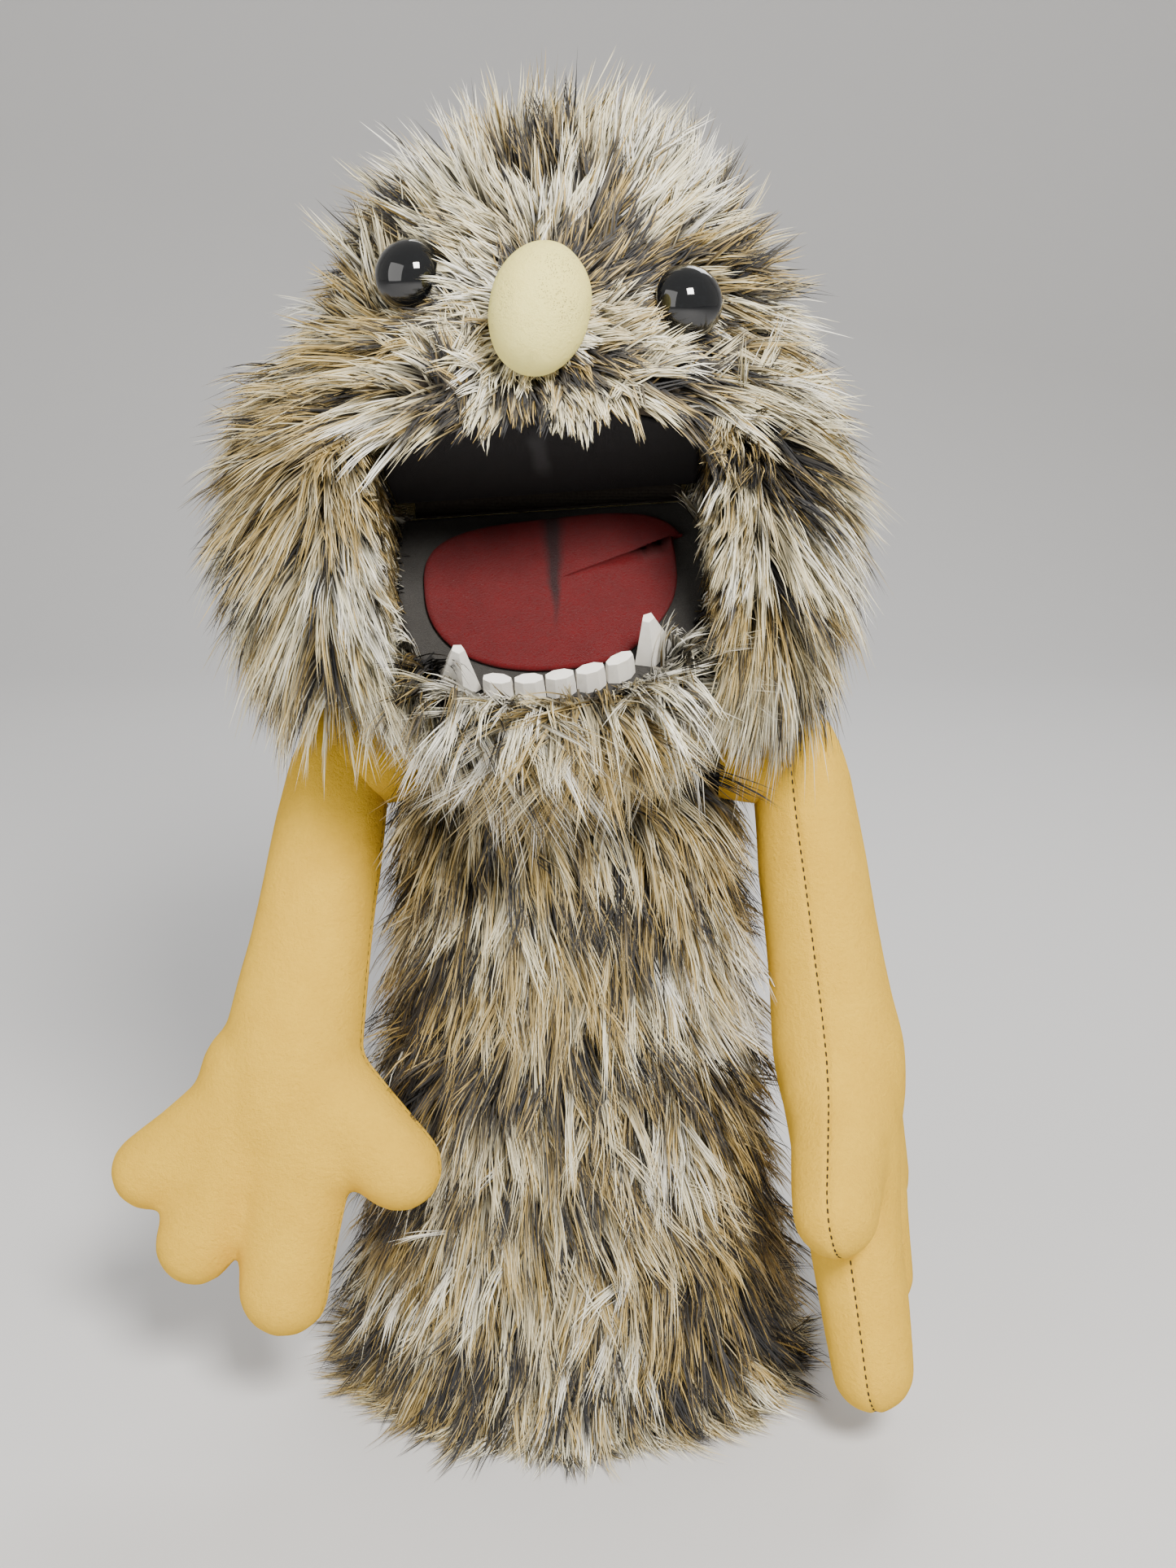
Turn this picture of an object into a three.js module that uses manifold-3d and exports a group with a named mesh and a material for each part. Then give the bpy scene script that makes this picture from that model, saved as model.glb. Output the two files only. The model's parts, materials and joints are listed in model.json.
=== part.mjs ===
// Moving mouth hand puppet: a fur head and sleeve over a foam core, a mouth of two hinged
// plates lined with felt, carved teeth, dome eyes, a padded nose and two stuffed arms.
// Millimetres, +Z up, the puppet faces -Y. The open-mouth pose is the rest pose.
import * as THREE from "three";
import { mergeVertices } from "three/addons/utils/BufferGeometryUtils.js";
import Module from "manifold-3d";

const wasm = await Module();
wasm.setup();

// ---- Driving dimensions -------------------------------------------------------------
const GAP = 0.3; // clearance between pieces that touch
const FAR = 400; // half side of the boxes that trim a piece

// Sleeve: (half width of the cloth, height) at the hem, (half width, distance below the top)
// at the shoulders.
const SLEEVE_TOP = 272; // height of the slanted top edge over the middle
const SLEEVE_FLARE = [[79, 0], [76, 30], [67, 80]];
const SLEEVE_SHOULDERS = [[57, 122], [52, 62], [50, 22], [50, -38]];
const SLEEVE_PROFILE = [...SLEEVE_FLARE, ...SLEEVE_SHOULDERS.map(([r, below]) => [r, SLEEVE_TOP - below])];
const SLEEVE_DEPTH = 0.86; // depth of the oval sleeve over its width
const SLEEVE_TOP_SLOPE = 0.3; // rise of that edge from front to back
const SLEEVE_PILE = 10; // cloth and combed-down pile
const LINING_WALL = 1.2;
const HEM_HEIGHT = 14;
const HEM_WALL = 2.5;

// Neck cuff: the knitted tube round the puppeteer's wrist.
const NECK_RADIUS = 38;
const NECK_WALL = 2;
const NECK_LENGTH = 32; // below the sleeve's top edge
const NECK_BOTTOM = SLEEVE_TOP - NECK_LENGTH;

// Head: the foam form is a turned shape, (radius, height over the mouth hinge).
const HINGE_RISE = 93; // the mouth hinge over the sleeve's top edge
const HINGE = new THREE.Vector3(-8, -13, SLEEVE_TOP + HINGE_RISE);
const HEAD_PROFILE = [
  [78, -56], [88, -36], [93, -12], [90, 14], [83, 38], [70, 65], [57, 85], [42, 100], [22, 112], [0, 117],
];
const HEAD_ROLL = 5; // degrees, crown towards +X
const HEAD_AXIS_Y = -2; // the form's axis, behind the hinge when positive
const FOAM_WALL = 9;
const HEAD_PILE = 22; // mean depth of cloth and pile on the head
const HEAD_PILE_SHIFT = 10; // thinner by this on the face, thicker at the back
const SKIN_SEAM_Y = 12; // seam between the face panel and the back panel
const SEAM_OPEN = 0.4; // width of the cut between two sewn panels

// Mouth plates, in each plate's own frame: hinge on X, the plate reaches towards -Y.
const MOUTH_ROLL = -4; // degrees, the mouth's +X corner is the higher one
const PALATE_PITCH = 25; // degrees above level
const JAW_PITCH = 38; // degrees below level
const PLATE_HALF_WIDTH = 56;
const PLATE_SIDE = 30; // length of the straight sides, from the hinge
const PLATE_LENGTH = 95;
const PLATE_SQUARE = 2.5; // exponent of the rounded front, 2 is an oval
const PLATE_BACK = 6; // set-back of the plate from the hinge
const PLATE_WALL = 2;
const FELT = 1.5;
const SLOT_ROOM = 7.5; // beside each plate, for the jaw's fur
const SLOT_HALF_WIDTH = PLATE_HALF_WIDTH + SLOT_ROOM; // the opening between the cheeks

const TAPE_RADIUS = 4.4;
const TAPE_WALL = 1;
const TAPE_HALF_WIDTH = 50;

// Finger strap over the palate plate and thumb loop under the jaw plate.
const STRAP = { halfWidth: 42, height: 28, wall: 1.5, front: -52, back: -22 };
const LOOP = { halfWidth: 20, height: 24, wall: 1.5, front: -43, back: -27 };

// Jaw: half width, length in front of its middle, depth, length behind its middle.
const JAW_MIDDLE = 35; // distance from the hinge
const JAW_FORM = [58, 63, 42, 60];
const JAW_WALL = 8;
const JAW_PILE = [4.6, 11, 11, 11];

// Tongue: an oval with a flattened back edge.
const TONGUE = { halfWidth: 48, length: 73, back: 13, thickness: 2 };
const TONGUE_TURN = 3; // degrees, glued on slightly askew

// Teeth stand on the jaw felt along an arc.
const TOOTH = { count: 5, width: 10.4, depth: 7.5, height: 9 };
const FANG = { width: 18.5, depth: 11, height: 21, tip: 5, tuck: 1.2 };
const FANG_AT = (TOOTH.count * (TOOTH.width + GAP) + FANG.width) / 2 - FANG.tuck; // off the middle
const TEETH_SKEW = 7; // degrees, the +X end sits further back
const TEETH_INSET = 4; // from the plate's edge to the middle of a tooth

// Eyes and nose, in the head's frame.
const EYE = { radius: 12.5, height: 12, shank: 2, elevation: 16, z: 79, out: 70, washer: 8 };
const EYE_AZIMUTH = { right: 48, left: 36 }; // degrees off straight ahead, sewn on unevenly
const NOSE = { radius: 16.5, up: 21, down: 22, x: -7, y: -86, z: 75, lean: 12, cover: 1.5, mouth: 5 };

// Arms: radius along the arm, (radius, distance below the shoulder).
const ARM_PROFILE = [
  [0, 7.5], [13, 9.5], [20, 18], [23, 40], [24, 72], [26, 98], [27.5, 118], [24, 140], [0, 158],
];
const HAND_FLATTEN = 0.95;
// Palm and fingers: base and tip as (across, down), the thumb side is +across. The left arm
// is stuffed and pulled longer than the right one.
const HANDS = {
  right: [
    { base: [-12, 128], tip: [-16, 154], r0: 23, r1: 20 },
    { base: [10, 128], tip: [14, 154], r0: 24, r1: 22 },
    { base: [-14, 142], tip: [-49, 173], r0: 21, r1: 15 },
    { base: [-14, 150], tip: [-25, 197], r0: 20, r1: 16 },
    { base: [11, 150], tip: [13, 208], r0: 21, r1: 18 },
    { base: [12, 128], tip: [50, 153], r0: 22, r1: 17.5 },
  ],
  left: [
    { base: [-12, 132], tip: [-16, 160], r0: 23, r1: 20 },
    { base: [10, 132], tip: [16, 164], r0: 24, r1: 22 },
    { base: [-14, 146], tip: [-44, 180], r0: 21, r1: 15 },
    { base: [-12, 156], tip: [-15, 212], r0: 20, r1: 16 },
    { base: [14, 158], tip: [20, 238], r0: 21, r1: 17.5 },
    { base: [12, 136], tip: [50, 168], r0: 22, r1: 17.5 },
  ],
};
const ARM_CLOTH = 1.5;
const SHOULDER = { x: 90, y: 0, z: SLEEVE_TOP - 12 };
// A button on the sleeve carries the arm: a disc, a shank and a ball with a cup below it.
const BUTTON = { disc: 9, wall: 1.6, shank: 2.5, ball: 5, stand: 29.4 };
const CUP = { wall: 1.8, reach: 62 }; // reach in degrees round the ball, from the arm's axis
const ROUND = 24; // sides of a full round on the large pieces
const ARM_POSES = {
  right: { side: -1, forward: 19, outward: 9.5, turn: -8 },
  left: { side: 1, forward: 15, outward: 8, turn: -106 },
};

// ---- Materials ----------------------------------------------------------------------
const material = (color, roughness, metalness = 0) =>
  new THREE.MeshStandardMaterial({ color, roughness, metalness });
const FUR = material(0xa99d8a, 0.9);
const FOAM = material(0xd9cfa4, 0.95);
const KNIT = material(0x3a3530, 0.95);
const BLACK_FELT = material(0x0d0b0c, 0.98);
const GREY_FELT = material(0x34322f, 0.98);
const RED_FELT = material(0x7d1420, 0.95);
const BOARD = material(0x6d6558, 0.85);
const WHITE_FOAM = material(0xf4efe4, 0.6);
const EYE_PLASTIC = material(0x0b0d0f, 0.08);
const WASHER = material(0xe8e6e0, 0.5);
const TAN_FLEECE = material(0xddb979, 0.95);
const NOSE_FLEECE = material(0xecdcae, 0.95);
const STUFFING = material(0xf1efe8, 1.0);

// ---- Solids -------------------------------------------------------------------------
const vec = (x, y, z) => new THREE.Vector3(x, y, z);
const rad = THREE.MathUtils.degToRad;

/** A closed three.js geometry as a solid, moved by an optional matrix. */
function solidOf(geometry, matrix) {
  const bare = geometry.index ? geometry.toNonIndexed() : geometry.clone();
  for (const name of Object.keys(bare.attributes)) {
    if (name !== "position") bare.deleteAttribute(name);
  }
  if (matrix) bare.applyMatrix4(matrix);
  const merged = mergeVertices(bare, 1e-4);
  const corners = merged.index.array;
  const kept = [];
  for (let i = 0; i < corners.length; i += 3) {
    const [a, b, c] = [corners[i], corners[i + 1], corners[i + 2]];
    if (a !== b && b !== c && a !== c) kept.push(a, b, c);
  }
  return new wasm.Manifold(
    new wasm.Mesh({
      numProp: 3,
      vertProperties: merged.attributes.position.array,
      triVerts: new Uint32Array(kept),
    }),
  );
}

/** A solid as a three.js geometry. */
function geometryOf(solid) {
  const mesh = solid.getMesh();
  const geometry = new THREE.BufferGeometry();
  const points = new Float32Array(mesh.numVert * 3);
  for (let i = 0; i < mesh.numVert; i++) {
    points.set(mesh.vertProperties.subarray(i * mesh.numProp, i * mesh.numProp + 3), i * 3);
  }
  geometry.setAttribute("position", new THREE.BufferAttribute(points, 3));
  geometry.setIndex(new THREE.BufferAttribute(mesh.triVerts, 1));
  geometry.computeVertexNormals();
  return geometry;
}

/** The mesh of one piece. */
function piece(name, solid, look) {
  const mesh = new THREE.Mesh(geometryOf(solid), look);
  mesh.name = name;
  return mesh;
}

/** A box from its lowest to its highest corner. */
function box(low, high, matrix) {
  const size = high.map((h, i) => h - low[i]);
  const geometry = new THREE.BoxGeometry(...size);
  geometry.translate(...low.map((l, i) => l + size[i] / 2));
  return solidOf(geometry, matrix);
}

/** A turned solid about Z from (radius, height) points that start and end on the axis or close. */
function turned(points, segments, matrix, depth = 1) {
  const geometry = new THREE.LatheGeometry(points.map(([r, z]) => new THREE.Vector2(r, z)), segments);
  geometry.rotateX(Math.PI / 2);
  geometry.scale(1, depth, 1);
  return solidOf(geometry, matrix);
}

/** Points of a smooth curve through (radius, height) control points. */
function smooth(controls, steps) {
  const curve = new THREE.SplineCurve(controls.map(([r, z]) => new THREE.Vector2(r, z)));
  return curve.getPoints(steps).map((p) => [Math.max(0, p.x), p.y]);
}

/** A (radius, height) profile moved outwards by a distance, or inwards when it is negative. */
function offset(profile, distance) {
  return profile.map(([r, z], i) => {
    const [r0, z0] = profile[Math.max(0, i - 1)];
    const [r1, z1] = profile[Math.min(profile.length - 1, i + 1)];
    const length = Math.hypot(r1 - r0, z1 - z0);
    if (r === 0) return [0, z + distance];
    return [r + (distance * (z1 - z0)) / length, z - (distance * (r1 - r0)) / length];
  });
}

/** A cylinder between two points. */
function rod(from, to, radius, segments = 16) {
  const along = to.clone().sub(from);
  const geometry = new THREE.CylinderGeometry(radius, radius, along.length(), segments);
  const turn = new THREE.Quaternion().setFromUnitVectors(vec(0, 1, 0), along.clone().normalize());
  const middle = from.clone().addScaledVector(along, 0.5);
  return solidOf(geometry, new THREE.Matrix4().compose(middle, turn, vec(1, 1, 1)));
}

/** A rounded bar between two points, with its own radius at each end. */
function bar(from, to, r0, r1, segments = 10, rings = 2) {
  const along = to.clone().sub(from);
  const points = [];
  for (let i = 0; i <= rings; i++) {
    const angle = -Math.PI / 2 + ((Math.PI / 2) * i) / rings;
    points.push([i === 0 ? 0 : r0 * Math.cos(angle), r0 * Math.sin(angle)]);
  }
  for (let i = 0; i <= rings; i++) {
    const angle = ((Math.PI / 2) * i) / rings;
    points.push([i === rings ? 0 : r1 * Math.cos(angle), along.length() + r1 * Math.sin(angle)]);
  }
  const turn = new THREE.Quaternion().setFromUnitVectors(vec(0, 0, 1), along.clone().normalize());
  return turned(points, segments, new THREE.Matrix4().compose(from, turn, vec(1, 1, 1)));
}

/** An extruded outline: the shape lies in X and Y, from height z0 to z1. */
function slab(shape, z0, z1, curveSegments = 12) {
  const geometry = new THREE.ExtrudeGeometry(shape, { depth: z1 - z0, bevelEnabled: false, curveSegments });
  geometry.translate(0, 0, z0);
  return solidOf(geometry);
}

/** A placed group. */
function frameAt(position, matrix) {
  const group = new THREE.Group();
  group.applyMatrix4(matrix);
  group.position.copy(position);
  return group;
}

const turnX = (degrees) => new THREE.Matrix4().makeRotationX(rad(degrees));
const turnY = (degrees) => new THREE.Matrix4().makeRotationY(rad(degrees));
const turnZ = (degrees) => new THREE.Matrix4().makeRotationZ(rad(degrees));
const moved = (p) => new THREE.Matrix4().makeTranslation(p.x, p.y, p.z);

// ---- Sleeve and neck ----------------------------------------------------------------
/** The space above the sleeve's slanted top edge, raised by a height. */
function aboveTopEdge(raise) {
  const slope = new THREE.Matrix4().makeRotationX(Math.atan(SLEEVE_TOP_SLOPE));
  return box([-FAR, -FAR, 0], [FAR, FAR, FAR], moved(vec(0, 0, SLEEVE_TOP + raise)).multiply(slope));
}

/** An oval tube between two offsets of the sleeve's cloth, from a height up to the top edge. */
function sleeveTube(innerOffset, outerOffset, bottom, raise) {
  const line = smooth(SLEEVE_PROFILE, 7);
  const inner = line.map(([r, z]) => [r + innerOffset, z]);
  const outer = line.map(([r, z]) => [r + outerOffset, z]);
  const tube = turned([...outer, ...inner.reverse(), outer[0]], ROUND, null, SLEEVE_DEPTH);
  const below = box([-FAR, -FAR, -FAR], [FAR, FAR, bottom]);
  return tube.subtract(aboveTopEdge(raise)).subtract(below);
}

function sleeve() {
  const group = new THREE.Group();
  const fur = sleeveTube(0, SLEEVE_PILE, 0, 0);
  const front = box([-FAR, -FAR, -FAR], [FAR, -SEAM_OPEN / 2, FAR]);
  const back = box([-FAR, SEAM_OPEN / 2, -FAR], [FAR, FAR, FAR]);
  const hem = sleeveTube(-GAP - HEM_WALL, -GAP, 0, 0).intersect(
    box([-FAR, -FAR, -FAR], [FAR, FAR, HEM_HEIGHT]),
  );
  const lining = sleeveTube(-GAP - LINING_WALL, -GAP, HEM_HEIGHT + GAP, -3);
  group.add(
    piece("sleeve_front_fur", fur.intersect(front), FUR),
    piece("sleeve_back_fur", fur.intersect(back), FUR),
    piece("sleeve_hem_band", hem, KNIT),
    piece("sleeve_lining", lining, KNIT),
  );
  return group;
}

function neck() {
  const top = SLEEVE_TOP + FAR / 4;
  const outer = [[NECK_RADIUS, NECK_BOTTOM], [NECK_RADIUS, top]];
  const inner = [[NECK_RADIUS - NECK_WALL, top], [NECK_RADIUS - NECK_WALL, NECK_BOTTOM]];
  const cuff = turned([...outer, ...inner, outer[0]], ROUND).subtract(aboveTopEdge(-1));
  const group = new THREE.Group();
  group.add(piece("neck_cuff", cuff, KNIT));
  return group;
}

// ---- Mouth --------------------------------------------------------------------------
/** How far the rounded front reaches at a distance across, given its half width and length. */
function plateReach(across, half, length) {
  return length * Math.max(0, 1 - Math.abs(across / half) ** PLATE_SQUARE) ** (1 / PLATE_SQUARE);
}

/** The outline of a mouth plate: straight sides from the hinge, then a rounded front. */
function plateShape(inset = 0) {
  const half = PLATE_HALF_WIDTH - inset;
  const shape = new THREE.Shape();
  shape.moveTo(half, -PLATE_BACK);
  shape.lineTo(-half, -PLATE_BACK);
  shape.lineTo(-half, -PLATE_SIDE);
  const steps = 28;
  for (let i = 1; i <= steps; i++) {
    const x = -half * Math.cos((Math.PI * i) / steps);
    shape.lineTo(x, -PLATE_SIDE - plateReach(x, half, PLATE_LENGTH - PLATE_SIDE - inset));
  }
  return shape;
}

/** A strap that arches over a plate, from height z0 upwards. */
function arch({ halfWidth, height, wall, front, back }, z0) {
  const bend = Math.min(halfWidth, height) * 0.8; // radius of the arch's shoulders
  const outline = (half, top, r) => {
    const path = new THREE.Shape();
    path.moveTo(-half, 0);
    path.lineTo(half, 0);
    path.lineTo(half, top - r);
    path.absarc(half - r, top - r, r, 0, Math.PI / 2, false);
    path.lineTo(-half + r, top);
    path.absarc(-half + r, top - r, r, Math.PI / 2, Math.PI, false);
    return path;
  };
  const upright = new THREE.Matrix4().makeRotationX(Math.PI / 2).setPosition(0, back, z0);
  const solid = (half, top, r, low) => {
    const depth = back - front;
    const geometry = new THREE.ExtrudeGeometry(outline(half, top, r), {
      depth: depth + 2 * low, bevelEnabled: false, curveSegments: 6,
    });
    geometry.translate(0, -low, -low);
    return solidOf(geometry, upright);
  };
  const inside = solid(halfWidth - wall, height, bend - wall, 1);
  return solid(halfWidth, height + wall, bend, 0).subtract(inside);
}

/** The fabric hinge: a half-round strip behind the plates' back edges. */
function hingeTape() {
  const arc = new THREE.Shape();
  const start = rad(90 - PALATE_PITCH);
  arc.absarc(0, 0, TAPE_RADIUS, start - Math.PI, start, false);
  arc.absarc(0, 0, TAPE_RADIUS - TAPE_WALL, start, start - Math.PI, true);
  const geometry = new THREE.ExtrudeGeometry(arc, {
    depth: 2 * TAPE_HALF_WIDTH, bevelEnabled: false, curveSegments: 10,
  });
  geometry.translate(0, 0, -TAPE_HALF_WIDTH);
  // the drawn X becomes +Y and the drawn Y becomes +Z, so the strip runs along X
  const along = new THREE.Matrix4().makeBasis(vec(0, 1, 0), vec(0, 0, 1), vec(1, 0, 0));
  return solidOf(geometry, along);
}

function palate() {
  const group = new THREE.Group();
  const plateTop = FELT + GAP + PLATE_WALL;
  group.add(
    piece("palate_felt", slab(plateShape(), 0, FELT), BLACK_FELT),
    piece("upper_mouth_plate", slab(plateShape(), FELT + GAP, plateTop), BOARD),
    piece("finger_strap", arch(STRAP, plateTop + GAP), KNIT),
  );
  return group;
}

/** A jaw-shaped solid in the jaw's frame: half an oval in front of its middle, a shorter one behind. */
function jawForm([halfWidth, front, depth, rear], grow) {
  const geometry = new THREE.SphereGeometry(1, ROUND, 12);
  geometry.rotateX(Math.PI / 2);
  const at = geometry.attributes.position;
  for (let i = 0; i < at.count; i++) {
    const length = grow + (at.getY(i) < 0 ? front : rear);
    at.setXYZ(i, at.getX(i) * (halfWidth + grow), at.getY(i) * length, at.getZ(i) * (depth + grow));
  }
  return solidOf(geometry, moved(vec(0, -JAW_MIDDLE, 0)));
}

function jawCore() {
  const plateBottom = -FELT - GAP - PLATE_WALL;
  const room = box([-FAR, -FAR, -FAR], [FAR, -PLATE_BACK, plateBottom - GAP]);
  return jawForm(JAW_FORM, 0).subtract(jawForm(JAW_FORM, -JAW_WALL)).intersect(room);
}

function jawFur() {
  const outer = JAW_FORM.map((size, i) => size + JAW_PILE[i]);
  const room = box([-FAR, -FAR, -FAR], [FAR, -PLATE_BACK - 2, 0]);
  const plates = slab(plateShape(-2 * GAP), -FELT - 3 * GAP - PLATE_WALL, FELT);
  return jawForm(outer, 0).subtract(jawForm(JAW_FORM, GAP)).intersect(room).subtract(plates);
}

/** The tongue's outline: an oval whose back edge is drawn out nearly straight. */
function tongueShape() {
  const { halfWidth, length, back } = TONGUE;
  const shape = new THREE.Shape();
  const middle = -back - length * 0.42;
  const front = -back - length;
  shape.moveTo(0, -back);
  shape.bezierCurveTo(-halfWidth * 0.72, -back, -halfWidth, middle + length * 0.24, -halfWidth, middle);
  shape.bezierCurveTo(-halfWidth, middle - length * 0.36, -halfWidth * 0.5, front, 0, front);
  shape.bezierCurveTo(halfWidth * 0.5, front, halfWidth, middle - length * 0.36, halfWidth, middle);
  shape.bezierCurveTo(halfWidth, middle + length * 0.24, halfWidth * 0.72, -back, 0, -back);
  return shape;
}

/** The tooth row's skew: it turns a little about a point in the middle of the mouth floor. */
function toothSkew() {
  const pivot = vec(0, -PLATE_LENGTH * 0.8, 0);
  return moved(pivot).multiply(turnZ(TEETH_SKEW)).multiply(moved(pivot.clone().negate()));
}

/** The place of a tooth at a distance across the row, in the jaw's frame. */
function toothPlace(across) {
  const half = PLATE_HALF_WIDTH - TEETH_INSET;
  const reach = PLATE_LENGTH - PLATE_SIDE - TEETH_INSET;
  const y = -PLATE_SIDE - plateReach(across, half, reach);
  const slope = (plateReach(across - 1, half, reach) - plateReach(across + 1, half, reach)) / 2;
  const facing = new THREE.Matrix4().makeRotationZ(Math.atan(slope));
  return toothSkew().multiply(moved(vec(across, y, GAP))).multiply(facing);
}

/** A carved tooth: a faceted block whose top is smaller than its foot and may lean. */
function carved(width, depth, height, topWidth, topDepth, lean, sides) {
  const geometry = new THREE.CylinderGeometry(1, 1, height, sides, 1);
  geometry.rotateX(Math.PI / 2);
  geometry.rotateZ(Math.PI / sides);
  geometry.translate(0, 0, height / 2);
  const at = geometry.attributes.position;
  for (let i = 0; i < at.count; i++) {
    const top = at.getZ(i) > height / 2;
    const w = (top ? topWidth : width) / 2;
    const d = (top ? topDepth : depth) / 2;
    at.setXYZ(i, at.getX(i) * w + (top ? lean : 0), at.getY(i) * d, at.getZ(i));
  }
  return geometry;
}

/** One of the small teeth, cut square at its sides and grown by a distance all round. */
function smallTooth(i, grow = 0) {
  const { count, width, depth, height } = TOOTH;
  const across = (i - (count - 1) / 2) * (width + GAP);
  const half = width / 2 + grow;
  const foot = [width * 1.16 + 2 * grow, depth + 2 * grow];
  const block = carved(...foot, height + grow, width + 2 * grow, depth * 0.62 + 2 * grow, 0, 8);
  const sides = box([across - half, -FAR, -FAR], [across + half, FAR, FAR], toothSkew());
  return solidOf(block, toothPlace(across)).intersect(sides);
}

/** A fang on one side, grown by a distance all round and clear of the small tooth beside it. */
function fang(side, grow = 0) {
  const { width, depth, height, tip } = FANG;
  const block = carved(width + 2 * grow, depth + 2 * grow, height, tip, tip * 0.8, -side * 2.5, 5);
  const neighbour = side < 0 ? 0 : TOOTH.count - 1;
  return solidOf(block, toothPlace(side * FANG_AT)).subtract(smallTooth(neighbour, GAP));
}

/** The tongue, trimmed clear of the teeth. */
function tongue() {
  const flat = slab(tongueShape(), GAP, GAP + TONGUE.thickness, 8).rotate([0, 0, TONGUE_TURN]);
  const row = TEETH_INSET + TOOTH.depth / 2 + GAP;
  const broaden = TONGUE.halfWidth / (PLATE_HALF_WIDTH - row);
  const wide = slab(plateShape(row), -FAR, FAR, 8).scale([broaden, 1, 1]);
  const inside = wide.transform(toothSkew().elements);
  return flat.intersect(inside).subtract(fang(-1, 3 * GAP)).subtract(fang(1, 3 * GAP));
}

function jaw() {
  const group = new THREE.Group();
  const plateBottom = -FELT - GAP - PLATE_WALL;
  const loop = piece("thumb_loop", arch(LOOP, 0), KNIT);
  loop.rotation.y = Math.PI;
  loop.position.z = plateBottom - GAP;
  group.add(
    piece("mouth_floor_felt", slab(plateShape(), -FELT, 0), GREY_FELT),
    piece("lower_mouth_plate", slab(plateShape(), plateBottom, plateBottom + PLATE_WALL), BOARD),
    piece("tongue", tongue(), RED_FELT),
    loop,
    piece("jaw_foam_core", jawCore(), FOAM),
    piece("jaw_beard_fur", jawFur(), FUR),
  );
  for (let i = 0; i < TOOTH.count; i++) {
    group.add(piece(`tooth_${i + 1}`, smallTooth(i), WHITE_FOAM));
  }
  group.add(piece("fang_right", fang(-1), WHITE_FOAM), piece("fang_left", fang(1), WHITE_FOAM));
  return group;
}

// ---- Head ---------------------------------------------------------------------------
/** A hood between two offsets of the head's form, open below. */
function hood(innerOffset, outerOffset, outerShift) {
  const form = smooth(HEAD_PROFILE, 10);
  const shape = (distance, y) => {
    const line = offset(form, distance);
    const base = form[0][1] - FAR;
    return turned([[0, base], [line[0][0], base], ...line], ROUND, moved(vec(0, y, 0)));
  };
  const hollow = shape(innerOffset, HEAD_AXIS_Y);
  const full = shape(outerOffset, HEAD_AXIS_Y + outerShift);
  const below = box([-FAR, -FAR, -2 * FAR], [FAR, FAR, form[0][1]]);
  return full.subtract(hollow).subtract(below);
}

/** Where an eye sits: its place and the way it looks, in the head's frame. */
function eyePlace(side, word) {
  const azimuth = rad(EYE_AZIMUTH[word]);
  const rise = rad(EYE.elevation);
  const at = vec(side * EYE.out * Math.sin(azimuth), HEAD_AXIS_Y - EYE.out * Math.cos(azimuth), EYE.z);
  const look = vec(
    side * Math.sin(azimuth) * Math.cos(rise), -Math.cos(azimuth) * Math.cos(rise), Math.sin(rise),
  );
  return { at, look };
}

/** A dome eye with its shank, looking along +Z before it is placed. */
function eyeSolid(matrix) {
  const { radius, height, shank } = EYE;
  const end = -FOAM_WALL - 14;
  const points = [[0, end], [shank, end], [shank, 0], [radius * 0.96, 0], [radius, 1.2]];
  const steps = 6;
  for (let i = 1; i <= steps; i++) {
    const angle = ((Math.PI / 2) * i) / steps;
    points.push([i === steps ? 0 : radius * Math.cos(angle), 1.2 + (height - 1.2) * Math.sin(angle)]);
  }
  return turned(points, 20, matrix);
}

/** The nose's egg, grown by a distance: wider above its middle, narrower below. */
function noseEgg(grow, matrix) {
  const points = [];
  const steps = 8;
  for (let i = 0; i <= steps; i++) {
    const angle = -Math.PI / 2 + (Math.PI * i) / steps;
    const end = i === 0 || i === steps;
    const z = Math.sin(angle) * (Math.sin(angle) > 0 ? NOSE.up + grow : NOSE.down + grow);
    points.push([end ? 0 : (NOSE.radius + grow) * Math.cos(angle), z]);
  }
  return turned(points, 16, matrix);
}

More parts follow.
